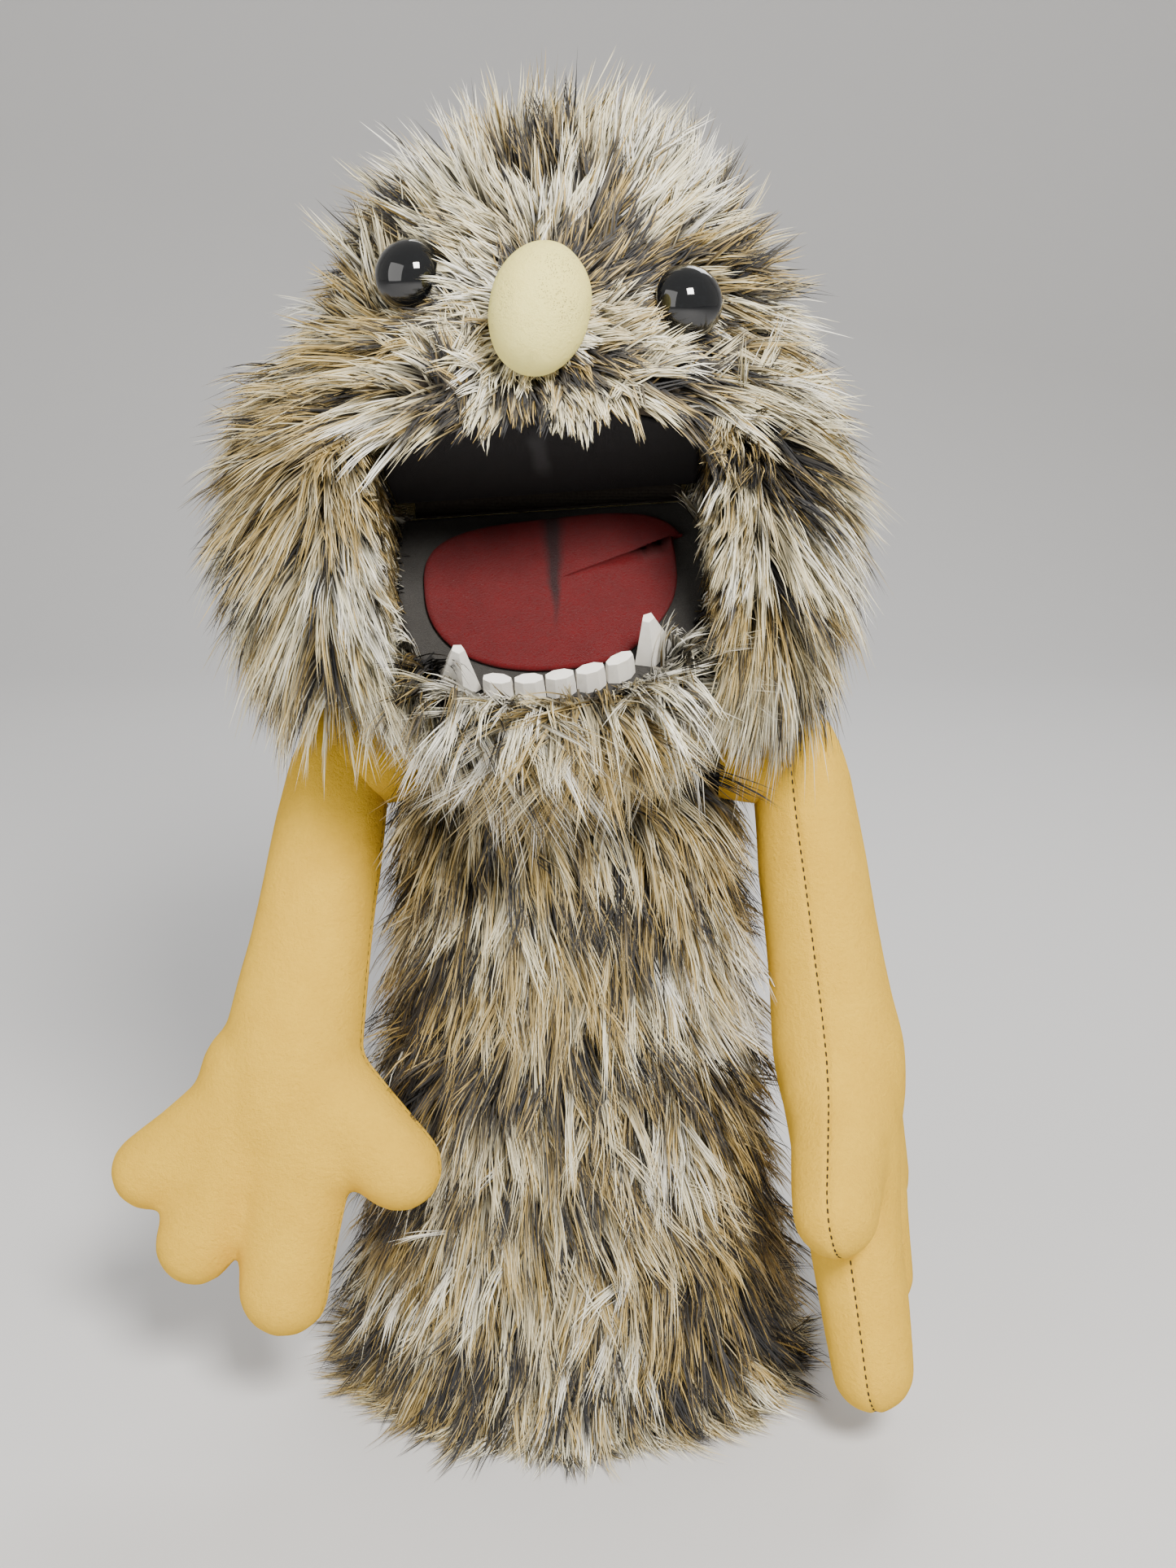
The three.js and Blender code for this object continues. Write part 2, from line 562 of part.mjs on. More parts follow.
function head() {
  const group = new THREE.Group();
  const intoHead = turnY(-HEAD_ROLL).multiply(turnY(MOUTH_ROLL));
  const slotTop = FELT + GAP + PLATE_WALL + GAP;
  const slot = box(
    [-SLOT_HALF_WIDTH, -FAR, -FAR], [SLOT_HALF_WIDTH, SKIN_SEAM_Y * 2, slotTop],
    intoHead.clone().multiply(turnX(-PALATE_PITCH)),
  );
  let foam = hood(-FOAM_WALL, 0, 0).subtract(slot);
  let fur = hood(GAP, HEAD_PILE, HEAD_PILE_SHIFT).subtract(slot);

  const washerThickness = 2;
  const noseMatrix = moved(vec(NOSE.x, NOSE.y, NOSE.z)).multiply(turnY(NOSE.lean - HEAD_ROLL));
  const noseCore = noseEgg(-NOSE.cover - GAP, noseMatrix);
  const throat = rod(vec(NOSE.x, NOSE.y, NOSE.z), vec(NOSE.x, NOSE.y + 3 * NOSE.radius, NOSE.z), NOSE.mouth);
  const noseCover = noseEgg(0, noseMatrix).subtract(noseEgg(-NOSE.cover, noseMatrix)).subtract(throat);
  fur = fur.subtract(noseEgg(GAP, noseMatrix));
  foam = foam.subtract(noseEgg(GAP, noseMatrix));

  for (const [side, word] of [[-1, "right"], [1, "left"]]) {
    const { at, look } = eyePlace(side, word);
    const turn = new THREE.Quaternion().setFromUnitVectors(vec(0, 0, 1), look);
    const matrix = new THREE.Matrix4().compose(at, turn, vec(1, 1, 1));
    const inward = (distance) => at.clone().addScaledVector(look, -distance);
    const socket = rod(inward(0.5), inward(-3 * EYE.radius), EYE.radius + 0.8, 20);
    const bore = rod(inward(-1), inward(6 * EYE.radius), EYE.shank + GAP, 10);
    // the foam's inner face lies this far behind the eye, along its shank
    const seat = FOAM_WALL + 10;
    const disc = rod(inward(seat), inward(seat + washerThickness), EYE.washer, 16).subtract(bore);
    const spot = rod(inward(seat - GAP), inward(seat + 30), EYE.washer + 2, 16);
    fur = fur.subtract(socket).subtract(bore);
    foam = foam.subtract(bore).subtract(spot).subtract(socket);
    group.add(
      piece(`eye_${word}`, eyeSolid(matrix), EYE_PLASTIC),
      piece(`eye_washer_${word}`, disc, WASHER),
    );
  }
  const face = box([-FAR, -FAR, -FAR], [FAR, SKIN_SEAM_Y - SEAM_OPEN / 2, FAR]);
  const nape = box([-FAR, SKIN_SEAM_Y + SEAM_OPEN / 2, -FAR], [FAR, FAR, FAR]);
  group.add(
    piece("head_foam_core", foam, FOAM),
    piece("head_face_fur", fur.intersect(face), FUR),
    piece("head_back_fur", fur.intersect(nape), FUR),
    piece("nose_core", noseCore, FOAM),
    piece("nose_cover", noseCover, NOSE_FLEECE),
  );
  return group;
}

// ---- Arms ---------------------------------------------------------------------------
/** A stuffed arm's outer shape, shrunk by a distance: shoulder at the origin, hand below. */
function armForm(hand, shrink) {
  const line = smooth(ARM_PROFILE, 8);
  const top = line[0][1] + shrink;
  const bottom = line[line.length - 1][1] - shrink;
  const outline = line.map(([r, s], i) => {
    const end = i === 0 || i === line.length - 1;
    return [end ? 0 : Math.max(1, r - shrink), -THREE.MathUtils.clamp(s, top, bottom)];
  });
  let solid = turned(outline.reverse(), 14);
  for (const { base, tip, r0, r1 } of hand) {
    const from = vec(base[0], 0, -base[1]);
    const to = vec(tip[0], 0, -tip[1]);
    solid = solid.add(bar(from, to, r0 - shrink, r1 - shrink));
  }
  return solid.scale([1, HAND_FLATTEN, 1]);
}

/** Points of an arc about the origin, (radius, height), from one angle off -Z to another. */
function arc(radius, from, to, steps) {
  const points = [];
  for (let i = 0; i <= steps; i++) {
    const angle = rad(from + ((to - from) * i) / steps);
    points.push([Math.max(0, radius * Math.sin(angle)), -radius * Math.cos(angle)]);
  }
  return points;
}

/** The button: disc, shank and ball, drawn about Z with the ball at the origin. */
function shoulderButton() {
  const { disc, wall, shank, ball, stand } = BUTTON;
  const join = THREE.MathUtils.radToDeg(Math.asin(shank / ball)); // where the shank meets the ball
  const ballLine = arc(ball, join, 180, 6);
  ballLine[ballLine.length - 1][0] = 0;
  const stem = [[0, -stand], [disc, -stand], [disc, wall - stand], [shank, wall - stand]];
  return turned([...stem, ...ballLine], 14);
}

/** The cup below the ball, drawn about Z. */
function shoulderCup() {
  const inner = BUTTON.ball + GAP;
  return turned([...arc(inner + CUP.wall, 0, CUP.reach, 4), ...arc(inner, CUP.reach, 0, 4)], 14);
}

/** One arm hanging from its shoulder; its turn about its own axis is 0 with the thumb at +X. */
function arm(word, { side, forward, outward, turn }) {
  const shoulder = vec(side * SHOULDER.x, SHOULDER.y, SHOULDER.z);
  const button = frameAt(shoulder, turnY(side * 90));
  button.add(piece(`shoulder_button_${word}`, shoulderButton(), WASHER));

  const hang = turnX(-forward).multiply(turnY(-side * outward));
  const limb = frameAt(shoulder, hang.multiply(turnZ(turn)));
  const hand = HANDS[word];
  const cloth = armForm(hand, 0).subtract(armForm(hand, ARM_CLOTH));
  const front = box([-FAR, -FAR, -FAR], [FAR, -SEAM_OPEN / 2, FAR]);
  const back = box([-FAR, SEAM_OPEN / 2, -FAR], [FAR, FAR, FAR]);
  limb.add(
    piece(`shoulder_cup_${word}`, shoulderCup(), WASHER),
    piece(`arm_${word}_front_fleece`, cloth.intersect(front), TAN_FLEECE),
    piece(`arm_${word}_back_fleece`, cloth.intersect(back), TAN_FLEECE),
    piece(`arm_${word}_stuffing`, armForm(hand, ARM_CLOTH + 2 * GAP), STUFFING),
  );
  return [button, limb];
}

const puppet = new THREE.Group();
puppet.add(sleeve(), neck());

const headGroup = frameAt(HINGE, turnY(HEAD_ROLL));
headGroup.add(...head().children);
puppet.add(headGroup);

const mouthGroup = frameAt(HINGE, turnY(MOUTH_ROLL));
const palateGroup = palate();
palateGroup.rotation.x = rad(-PALATE_PITCH);
const jawGroup = jaw();
jawGroup.rotation.x = rad(JAW_PITCH);
mouthGroup.add(palateGroup, jawGroup, piece("mouth_hinge_tape", hingeTape(), KNIT));
puppet.add(mouthGroup);

for (const [word, pose] of Object.entries(ARM_POSES)) {
  puppet.add(...arm(word, pose));
}

// The origin is the middle of the puppet's footprint, on the floor.
const bounds = new THREE.Box3().setFromObject(puppet, true);
const middle = bounds.getCenter(vec(0, 0, 0));
puppet.position.set(-middle.x, -middle.y, -bounds.min.z);

export default puppet;
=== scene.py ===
"""Dresses a moving-mouth hand puppet: fur, felt, fleece, teeth, eyes and nose.

Lengths in the classes are millimetres in the maker's own frame, whose zero is the middle of
the sleeve on the floor. ``Layout`` turns them into metres in the library's frame.
"""
import json
import logging
import math
from dataclasses import dataclass, replace
from enum import Enum
from typing import Any, Callable, Mapping, Optional, Sequence, Union

import bmesh
import bpy
import numpy as np
from mathutils import Matrix, Vector


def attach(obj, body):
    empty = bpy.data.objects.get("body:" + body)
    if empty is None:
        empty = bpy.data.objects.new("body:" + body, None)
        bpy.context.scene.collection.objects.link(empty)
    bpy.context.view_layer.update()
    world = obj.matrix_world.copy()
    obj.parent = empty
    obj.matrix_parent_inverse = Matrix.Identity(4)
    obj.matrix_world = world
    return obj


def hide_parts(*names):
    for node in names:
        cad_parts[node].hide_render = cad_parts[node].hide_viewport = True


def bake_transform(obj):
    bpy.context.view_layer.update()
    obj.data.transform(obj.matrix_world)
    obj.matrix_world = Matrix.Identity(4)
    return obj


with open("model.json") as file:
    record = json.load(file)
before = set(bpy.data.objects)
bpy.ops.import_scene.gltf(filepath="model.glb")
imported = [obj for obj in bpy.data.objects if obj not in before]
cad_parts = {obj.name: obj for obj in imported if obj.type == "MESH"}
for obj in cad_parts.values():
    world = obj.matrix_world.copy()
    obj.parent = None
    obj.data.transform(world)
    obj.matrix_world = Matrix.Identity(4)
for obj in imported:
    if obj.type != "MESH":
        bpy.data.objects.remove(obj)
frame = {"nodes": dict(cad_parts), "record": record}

LOG = logging.getLogger("puppet")
Array = np.ndarray
Colour = tuple[float, float, float]
Piece = bpy.types.Object
Look = bpy.types.Material
Looks = Mapping[str, bpy.types.Material]
MM = 0.001


# ---- Shader expressions --------------------------------------------------------------
class Link:
    """One output socket of a finish, whose arithmetic adds Math nodes."""

    def __init__(self, shader: "Shader", socket: bpy.types.NodeSocket) -> None:
        """Keeps the shader and the socket."""
        self.shader = shader
        self.socket = socket

    def _math(self, operation: str, *values: "Value") -> "Link":
        """The result of one new Math node, given its operation and its inputs in order."""
        return self.shader.node("ShaderNodeMath", {"operation": operation}, dict(enumerate(values)))

    def __add__(self, other: "Value") -> "Link":
        """self + other."""
        return self._math("ADD", self, other)

    def __radd__(self, other: "Value") -> "Link":
        """other + self."""
        return self._math("ADD", other, self)

    def __sub__(self, other: "Value") -> "Link":
        """self - other."""
        return self._math("SUBTRACT", self, other)

    def __rsub__(self, other: "Value") -> "Link":
        """other - self."""
        return self._math("SUBTRACT", other, self)

    def __mul__(self, other: "Value") -> "Link":
        """self * other."""
        return self._math("MULTIPLY", self, other)

    def __rmul__(self, other: "Value") -> "Link":
        """other * self."""
        return self._math("MULTIPLY", other, self)

    def __truediv__(self, other: "Value") -> "Link":
        """self / other."""
        return self._math("DIVIDE", self, other)

    def __abs__(self) -> "Link":
        """The size of self."""
        return self._math("ABSOLUTE", self)

    def clamped(self) -> "Link":
        """self kept between 0 and 1."""
        return self._math("MINIMUM", self._math("MAXIMUM", self, 0.0), 1.0)

    def rise(self, low: float, high: float) -> "Link":
        """A ramp of self: 0 below low, 1 above high."""
        return ((self - low) / (high - low)).clamped()


Value = Union[float, int, Link]


class Shader:
    """A material being built round one Principled shader."""

    def __init__(self, name: str) -> None:
        """Makes an empty material with its output."""
        self.material = bpy.data.materials.new(name)
        self.material.use_nodes = True
        self.tree = self.material.node_tree
        self.tree.nodes.clear()
        self.output = self.tree.nodes.new("ShaderNodeOutputMaterial")

    def node(
        self,
        kind: str,
        settings: Optional[Mapping[str, Any]] = None,
        inputs: Optional[Mapping[Union[str, int], Any]] = None,
        output: Union[str, int] = 0,
    ) -> Link:
        """Adds a node.

        Args:
            kind: The node's type.
            settings: Its own settings; "stops" holds a ramp's (place, colour) pairs.
            inputs: Values or links of its sockets, by name or number.
            output: Which output to return.

        Returns:
            The chosen output.
        """
        made = self.tree.nodes.new(kind)
        for key, value in (settings or {}).items():
            if key == "stops":
                self._stops(made, value)
            else:
                setattr(made, key, value)
        for key, value in (inputs or {}).items():
            socket = made.inputs[key]
            if isinstance(value, Link):
                self.tree.links.new(value.socket, socket)
            elif isinstance(value, (tuple, list)) and socket.type == "RGBA":
                socket.default_value = (*value[:3], 1.0)
            else:
                socket.default_value = value
        return Link(self, made.outputs[output])

    @staticmethod
    def _stops(ramp: bpy.types.Node, stops: Sequence[tuple[float, Colour]]) -> None:
        """Sets a ramp's stops.

        Args:
            ramp: The ramp node.
            stops: (place, colour) pairs in rising order.
        """
        elements = ramp.color_ramp.elements
        while len(elements) > 1:
            elements.remove(elements[-1])
        for number, (place, colour) in enumerate(stops):
            element = elements[0] if number == 0 else elements.new(place)
            element.position = place
            element.color = (*colour, 1.0)

    def object_point(self) -> Link:
        """The point on the piece, in metres."""
        return self.node("ShaderNodeTexCoord", output="Object")

    def noise(self, scale: float, detail: float = 3.0, rough: float = 0.55, distort: float = 0.0) -> Link:
        """Smooth noise over the piece.

        Args:
            scale: Features in each metre.
            detail: Octaves.
            rough: Strength of the finer octaves.
            distort: How far the pattern is pulled about.

        Returns:
            A value near 0.5.
        """
        inputs = {
            "Vector": self.object_point(), "Scale": scale, "Detail": detail,
            "Roughness": rough, "Distortion": distort,
        }
        return self.node("ShaderNodeTexNoise", inputs=inputs)

    def cells(self, scale: float) -> Link:
        """The distance to the centre of a cell, for a number of cells in each metre."""
        inputs = {"Vector": self.object_point(), "Scale": scale}
        return self.node("ShaderNodeTexVoronoi", inputs=inputs)

    def ramp(self, factor: Link, stops: Sequence[tuple[float, Colour]]) -> Link:
        """The colour that (place, colour) stops give a value."""
        return self.node("ShaderNodeValToRGB", {"stops": stops}, {0: factor})

    def map_place(self) -> tuple[Link, Link]:
        """The two coordinates of the piece's own map."""
        place = self.node("ShaderNodeUVMap", {"uv_map": "OFBake"})
        across, along = (self.node("ShaderNodeSeparateXYZ", inputs={0: place}, output=k) for k in (0, 1))
        return across, along

    def mix(self, factor: Value, a: Any, b: Any) -> Link:
        """Colour a where the factor is 0, colour b where it is 1."""
        return self.node("ShaderNodeMix", {"data_type": "RGBA"}, {0: factor, 6: a, 7: b}, 2)

    def bump(self, height: Link, depth: float) -> Link:
        """The normal that a height from 0 to 1 gives, with the depth of 1 in metres."""
        return self.node("ShaderNodeBump", inputs={"Height": height, "Distance": depth, "Strength": 1.0})

    def finish(self, **sockets: Any) -> Look:
        """Adds the Principled shader and joins it to the output.

        Args:
            sockets: Values or links, by socket name with _ for spaces.

        Returns:
            The material.
        """
        named = {key.replace("_", " "): value for key, value in sockets.items()}
        surface = self.node("ShaderNodeBsdfPrincipled", inputs=named)
        self.tree.links.new(surface.socket, self.output.inputs[0])
        return self.material


# ---- Finishes ------------------------------------------------------------------------
@dataclass(frozen=True)
class FurFinish:
    """Long mottled pile. Across its map a strand picks its tint; along it, painted shade darkens the strand
    from tip to root.
    """

    name: str = "fur_pile"
    # Colours at the roots, by tint: the tips' colours darkened by painted shade.
    roots: tuple[tuple[float, Colour], ...] = (
        (0.0, (0.004, 0.004, 0.005)), (0.16, (0.010, 0.009, 0.008)), (0.34, (0.050, 0.032, 0.010)),
        (0.55, (0.050, 0.042, 0.026)), (0.78, (0.130, 0.116, 0.084)), (1.0, (0.340, 0.330, 0.290)),
    )
    tips: tuple[tuple[float, Colour], ...] = (
        (0.0, (0.018, 0.020, 0.026)), (0.16, (0.090, 0.078, 0.058)), (0.34, (0.560, 0.395, 0.125)),
        (0.55, (0.700, 0.620, 0.400)), (0.78, (0.930, 0.865, 0.600)), (1.0, (0.980, 0.965, 0.880)),
    )

    def material(self) -> Look:
        """Builds the material."""
        s = Shader(self.name)
        across, along = s.map_place()
        # Painted shade: each strand darkens towards its root, where the pile shades itself.
        lit = along.rise(0.12, 0.85)
        colour = s.mix(lit, s.ramp(across, self.roots), s.ramp(across, self.tips))
        return s.finish(Base_Color=colour, Roughness=0.62, Specular_IOR_Level=0.35)


@dataclass(frozen=True)
class Backing:
    """The knitted cloth the pile stands on."""

    name: str = "fur_backing"
    dark: Colour = (0.030, 0.024, 0.018)
    light: Colour = (0.120, 0.098, 0.072)

    def material(self) -> Look:
        """Builds the material."""
        s = Shader(self.name)
        patches = s.noise(45, 4).rise(0.35, 0.65)
        grain = s.noise(1400, 2)
        return s.finish(
            Base_Color=s.mix(patches, self.dark, self.light), Roughness=0.95,
            Normal=s.bump(grain, 0.0006), Specular_IOR_Level=0.2,
        )


@dataclass(frozen=True)
class Fleece:
    """Brushed fleece: a short matted nap with faint mottling."""

    name: str
    base: Colour
    deep: Colour
    nap: float = 0.00035
    # Strength of the darkened pits: partly their own colour, partly painted shade in them.
    pits: float = 0.0

    def material(self) -> Look:
        """Builds the material."""
        s = Shader(self.name)
        soft = s.noise(60, 4, 0.6).rise(0.3, 0.7)
        flock = s.noise(520, 6, 0.75).rise(0.3, 0.7)
        colour = s.mix(soft * 0.35 + flock * 0.3, self.base, self.deep)
        height = flock * 0.8 + s.noise(1700, 4, 0.75) * 0.5
        # Pits: sunk into the bump and darkened towards a brown tint, partly the pits' own yellowish colour
        # and partly painted shade inside them.
        if self.pits:
            speckle = 1 - s.cells(1500).rise(0.05, 0.35)
            patchy = s.noise(70, 2).rise(0.45, 0.65)
            colour = s.mix(speckle * patchy * self.pits, colour, (0.34, 0.27, 0.16))
            height = height - speckle * patchy
        return s.finish(
            Base_Color=colour, Roughness=0.95, Normal=s.bump(height, self.nap),
            Sheen_Weight=0.03, Sheen_Roughness=0.6, Specular_IOR_Level=0.08,
        )


class Mark(Enum):
    """What is drawn on a piece of felt."""

    PLAIN = "plain"
    STREAK = "streak"
    # A paler line along the middle: a painted highlight on a fold.
    CREASE_HIGHLIGHT = "crease"


@dataclass(frozen=True)
class Felt:
    """Pressed felt with loose fibres and a little lint."""

    name: str
    base: Colour
    deep: Colour
    lint: Colour = (0.20, 0.17, 0.17)
    mark: Mark = Mark.PLAIN

    def material(self) -> Look:
        """Builds the material."""
        s = Shader(self.name)
        fibre = s.noise(1100, 5, 0.75, 1.5).rise(0.32, 0.68)
        cloud = s.noise(120, 3).rise(0.35, 0.65)
        colour = s.mix(fibre * 0.55 + cloud * 0.3, self.base, self.deep)
        speck = s.cells(520).rise(0.10, 0.04) * s.noise(200, 1).rise(0.55, 0.62)
        colour = s.mix(speck * 0.5, colour, self.lint)
        if self.mark is not Mark.PLAIN:
            colour = self._marked(s, colour, *s.map_place())
        return s.finish(
            Base_Color=colour, Roughness=0.97, Normal=s.bump(fibre, 0.0004),
            Sheen_Weight=0.08, Sheen_Roughness=0.5, Specular_IOR_Level=0.1,
        )

    def _marked(self, s: Shader, colour: Link, across: Link, back: Link) -> Link:
        """Draws the mark.

        Args:
            s: The shader.
            colour: The felt's colour.
            across: 0 to 1 over the width.
            back: 0 at the front, 1 at the back.

        Returns:
            The marked colour.
        """
        off = abs(across - 0.5 + (s.noise(60, 2) - 0.5) * 0.03)
        if self.mark is Mark.STREAK:
            width = 0.012 + back.rise(0.3, 1.0) * 0.055
            blur = 1 - (off / width).rise(0.25, 1.0)
            return s.mix(blur * back.rise(0.22, 0.5) * 0.85, colour, (0.012, 0.006, 0.008))
        # A paler line along the fold: a painted highlight on the crease.
        blur = 1 - (off / 0.035).rise(0.3, 1.0)
        reach = back.rise(0.12, 0.3) * (1 - back.rise(0.6, 0.8))
        return s.mix(blur * reach * 0.8, colour, (0.055, 0.055, 0.060))


@dataclass(frozen=True)
class CutFoam:
    """Smooth white foam cut by hand, with faint handling marks."""

    name: str = "tooth_white"
    base: Colour = (0.86, 0.84, 0.79)
    worn: Colour = (0.70, 0.66, 0.58)

    def material(self) -> Look:
        """Builds the material."""
        s = Shader(self.name)
        grain = s.noise(1800, 3)
        marks = s.noise(260, 4).rise(0.5, 0.75)
        return s.finish(
            Base_Color=s.mix(marks * 0.4, self.base, self.worn), Roughness=0.55,
            Normal=s.bump(grain, 0.00008), Specular_IOR_Level=0.35,
        )


@dataclass(frozen=True)
class DomeGloss:
    """Polished black dome with the faintest scuffs."""

    name: str = "eye_black"
    base: Colour = (0.004, 0.0045, 0.0055)

    def material(self) -> Look:
        """Builds the material."""
        s = Shader(self.name)
        scuffs = s.noise(700, 3).rise(0.55, 0.8)
        colour = s.mix(scuffs * 0.3, self.base, (0.012, 0.014, 0.018))
        return s.finish(
            Base_Color=colour, Roughness=0.05 + scuffs * 0.06, Coat_Weight=0.6, Coat_Roughness=0.03,
        )


@dataclass(frozen=True)
class Woven:
    """Plain or knitted cloth, board, foam or filling, by its grain."""

    name: str
    base: Colour
    deep: Colour
    grain: float = 900.0
    depth: float = 0.0004
    rough: float = 0.93

    def material(self) -> Look:
        """Builds the material."""
        s = Shader(self.name)
        rows = s.node("ShaderNodeTexWave", {"bands_direction": "Z"}, {
            "Vector": s.object_point(), "Scale": self.grain * 0.3, "Distortion": 2.0, "Detail": 2.0,
        })
        pores = s.noise(self.grain, 4, 0.65)
        colour = s.mix(pores.rise(0.3, 0.7) * 0.7, self.base, self.deep)
        return s.finish(
            Base_Color=colour, Roughness=self.rough, Normal=s.bump(pores * 0.7 + rows * 0.3, self.depth),
            Specular_IOR_Level=0.2,
        )


# ---- Places and meshes ---------------------------------------------------------------
@dataclass(frozen=True)
class Layout:
    """Where the maker's own frames stand in the library's frame."""

    hinge: tuple[float, float, float] = (-8.0, -13.0, 365.0)
    head_roll: float = 5.0
    mouth_roll: float = -4.0
    palate_pitch: float = 25.0
    jaw_pitch: float = 38.0
    shoulder: tuple[float, float, float] = (90.0, 0.0, 260.0)

    def body(self) -> Matrix:
        """The sleeve's frame: the maker's own, with its millimetres turned into metres."""
        joints = frame["record"]["behaviour"]["joints"]
        pin = next(Vector(j["pos_m"]) for j in joints if j["name"] == "jaw_hinge")
        return Matrix.Translation(pin - Vector(self.hinge) * MM) @ Matrix.Scale(MM, 4)

    def head(self) -> Matrix:
        """The head's frame, at the mouth hinge."""
        return self.body() @ Matrix.Translation(self.hinge) @ self._turn(self.head_roll, "Y")

    def mouth(self) -> Matrix:
        """The mouth's frame, at its hinge."""
        return self.body() @ Matrix.Translation(self.hinge) @ self._turn(self.mouth_roll, "Y")

    def palate(self) -> Matrix:
        """The upper plate's frame: it reaches towards -Y from the hinge."""
        return self.mouth() @ self._turn(-self.palate_pitch, "X")

    def jaw(self) -> Matrix:
        """The lower plate's frame."""
        return self.mouth() @ self._turn(self.jaw_pitch, "X")

    def arm(self, side: int, forward: float, outward: float, turn: float) -> Matrix:
        """An arm's frame: it hangs towards -Z with its thumb towards +X.

        Args:
            side: -1 or 1.
            forward: Degrees swung forward.
            outward: Degrees lifted outward.
            turn: Degrees turned about its own length.

        Returns:
            The frame.
        """
        x, y, z = self.shoulder
        hang = self._turn(-forward, "X") @ self._turn(-side * outward, "Y") @ self._turn(turn, "Z")
        return self.body() @ Matrix.Translation((side * x, y, z)) @ hang

    @staticmethod
    def _turn(degrees: float, axis: str) -> Matrix:
        """A turn about an axis."""
        return Matrix.Rotation(math.radians(degrees), 4, axis)


def in_scene(name: str, data: Any) -> Piece:
    """A new object of the scene that holds some mesh, light or camera data."""
    made = bpy.data.objects.new(name, data)
    bpy.context.scene.collection.objects.link(made)
    return made


def mesh_object(name: str, verts: Array, faces: Sequence[Sequence[int]]) -> Piece:
    """Makes a smooth-shaded mesh object in the scene.

    Args:
        name: Its name.
        verts: Its points, in metres.
        faces: Its faces.

    Returns:
        The object.
    """
    mesh = bpy.data.meshes.new(name)
    mesh.from_pydata([tuple(v) for v in verts], [], [tuple(f) for f in faces])
    mesh.validate()
    mesh.polygons.foreach_set("use_smooth", [True] * len(mesh.polygons))
    return in_scene(name, mesh)


def read(rows: Any, what: str, wide: int, kind: Any = float) -> Array:
    """Values of a mesh's collection, one row of a given width for each member."""
    made = np.empty(len(rows) * wide, kind)
    rows.foreach_get(what, made)
    return made.reshape(-1, wide)


def set_map(mesh: bpy.types.Mesh, uv: Array) -> None:
    """Lays a mesh's own map from one row of coordinates for each point."""
    corners = read(mesh.loops, "vertex_index", 1, np.int32)[:, 0]
    mesh.uv_layers.new(name="OFBake").data.foreach_set("uv", uv[corners].ravel())


def placed(points: Array, matrix: Matrix) -> Array:
    """Rows of points moved by the matrix of the frame they are in."""
    m = np.array(matrix)
    return points @ m[:3, :3].T + m[:3, 3]


def dress(piece: Piece, look: Look, slot: str, body: Optional[str]) -> Piece:
    """Gives a piece its finish and its body, and logs the record's slot.

    Args:
        piece: The piece.
        look: Its material.
        slot: The record's slot.
        body: The body it rides on, or None where it is blended.

    Returns:
        The piece.
    """
    piece.data.materials.clear()
    piece.data.materials.append(look)
    if body:
        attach(piece, body)
    LOG.info("%s: %d faces, %s", piece.name, len(piece.data.polygons), slot)
    return piece


def grid_faces(rows: int, columns: int, closed: bool = False) -> list[tuple[int, int, int, int]]:
    """Faces of a grid of points, row by row.

    Args:
        rows: Rows of points.
        columns: Points in a row.
        closed: Whether each row closes on itself.

    Returns:
        The faces.
    """
    last = columns if closed else columns - 1
    made = []
    for row in range(0, (rows - 1) * columns, columns):
        for c in range(last):
            onward = row + (c + 1) % columns
            made.append((row + c, onward, onward + columns, row + c + columns))
    return made


def double_wall(name: str, outer: Array, inner: Array, place: Matrix, uneven: float = 0.0) -> Piece:
    """A closed tube between two walls.

    Args:
        name: Its name.
        outer: The outer wall's points, rows by columns by 3, upwards.
        inner: The inner wall's points.
        place: Their frame.
        uneven: How much the walls wander.

    Returns:
        The tube.
    """
    rows, columns = outer.shape[:2]
    verts = np.concatenate([outer, inner[::-1]]).reshape(-1, 3)
    verts = verts + (value_noise(verts, 26, 77)[:, None] - 0.5) * np.array([uneven, uneven, 0.0])
    faces = grid_faces(2 * rows, columns, True)
    last = (2 * rows - 1) * columns
    faces += [(last + i, last + (i + 1) % columns, (i + 1) % columns, i) for i in range(columns)]
    return mesh_object(name, placed(verts, place), faces)


def spline(controls: Sequence[tuple[float, float]], count: int) -> Array:
    """Points of a smooth line through (radius, height) controls.

    Args:
        controls: The controls.
        count: Points wanted.

    Returns:
        count by 2 points.
    """
    p = np.array(controls, float)
    at = np.linspace(0, len(p) - 1, count)
    i = np.minimum(at.astype(int), len(p) - 2)
    t = (at - i)[:, None]
    a, b, c, d = p[np.maximum(i - 1, 0)], p[i], p[i + 1], p[np.minimum(i + 2, len(p) - 1)]
    made = 0.5 * (2 * b + (c - a) * t + (2 * a - 5 * b + 4 * c - d) * t**2 + (3 * b - a - 3 * c + d) * t**3)
    made[:, 0] = np.maximum(made[:, 0], 0)
    return made


def value_noise(points: Array, size: float, seed: int) -> Array:
    """Smooth random values over space.

    Args:
        points: n by 3 points.
        size: The size of a patch, in the points' unit.
        seed: Which pattern.

    Returns:
        n values from 0 to 1.
    """
    table = np.random.default_rng(seed).random(4096)
    p = points / size
    low = np.floor(p).astype(np.int64)
    t = p - low
    t = t * t * (3 - 2 * t)
    total = np.zeros(len(p))
    for corner in range(8):
        step = np.array([corner & 1, corner >> 1 & 1, corner >> 2 & 1])
        cell = low + step
        key = (cell[:, 0] * 73856093 ^ cell[:, 1] * 19349663 ^ cell[:, 2] * 83492791) & 4095
        total += table[key] * np.prod(np.where(step, t, 1 - t), axis=1)
    return total


def unit(v: Array) -> Array:
    """Rows made one long."""
    return v / np.maximum(np.linalg.norm(v, axis=1, keepdims=True), 1e-9)


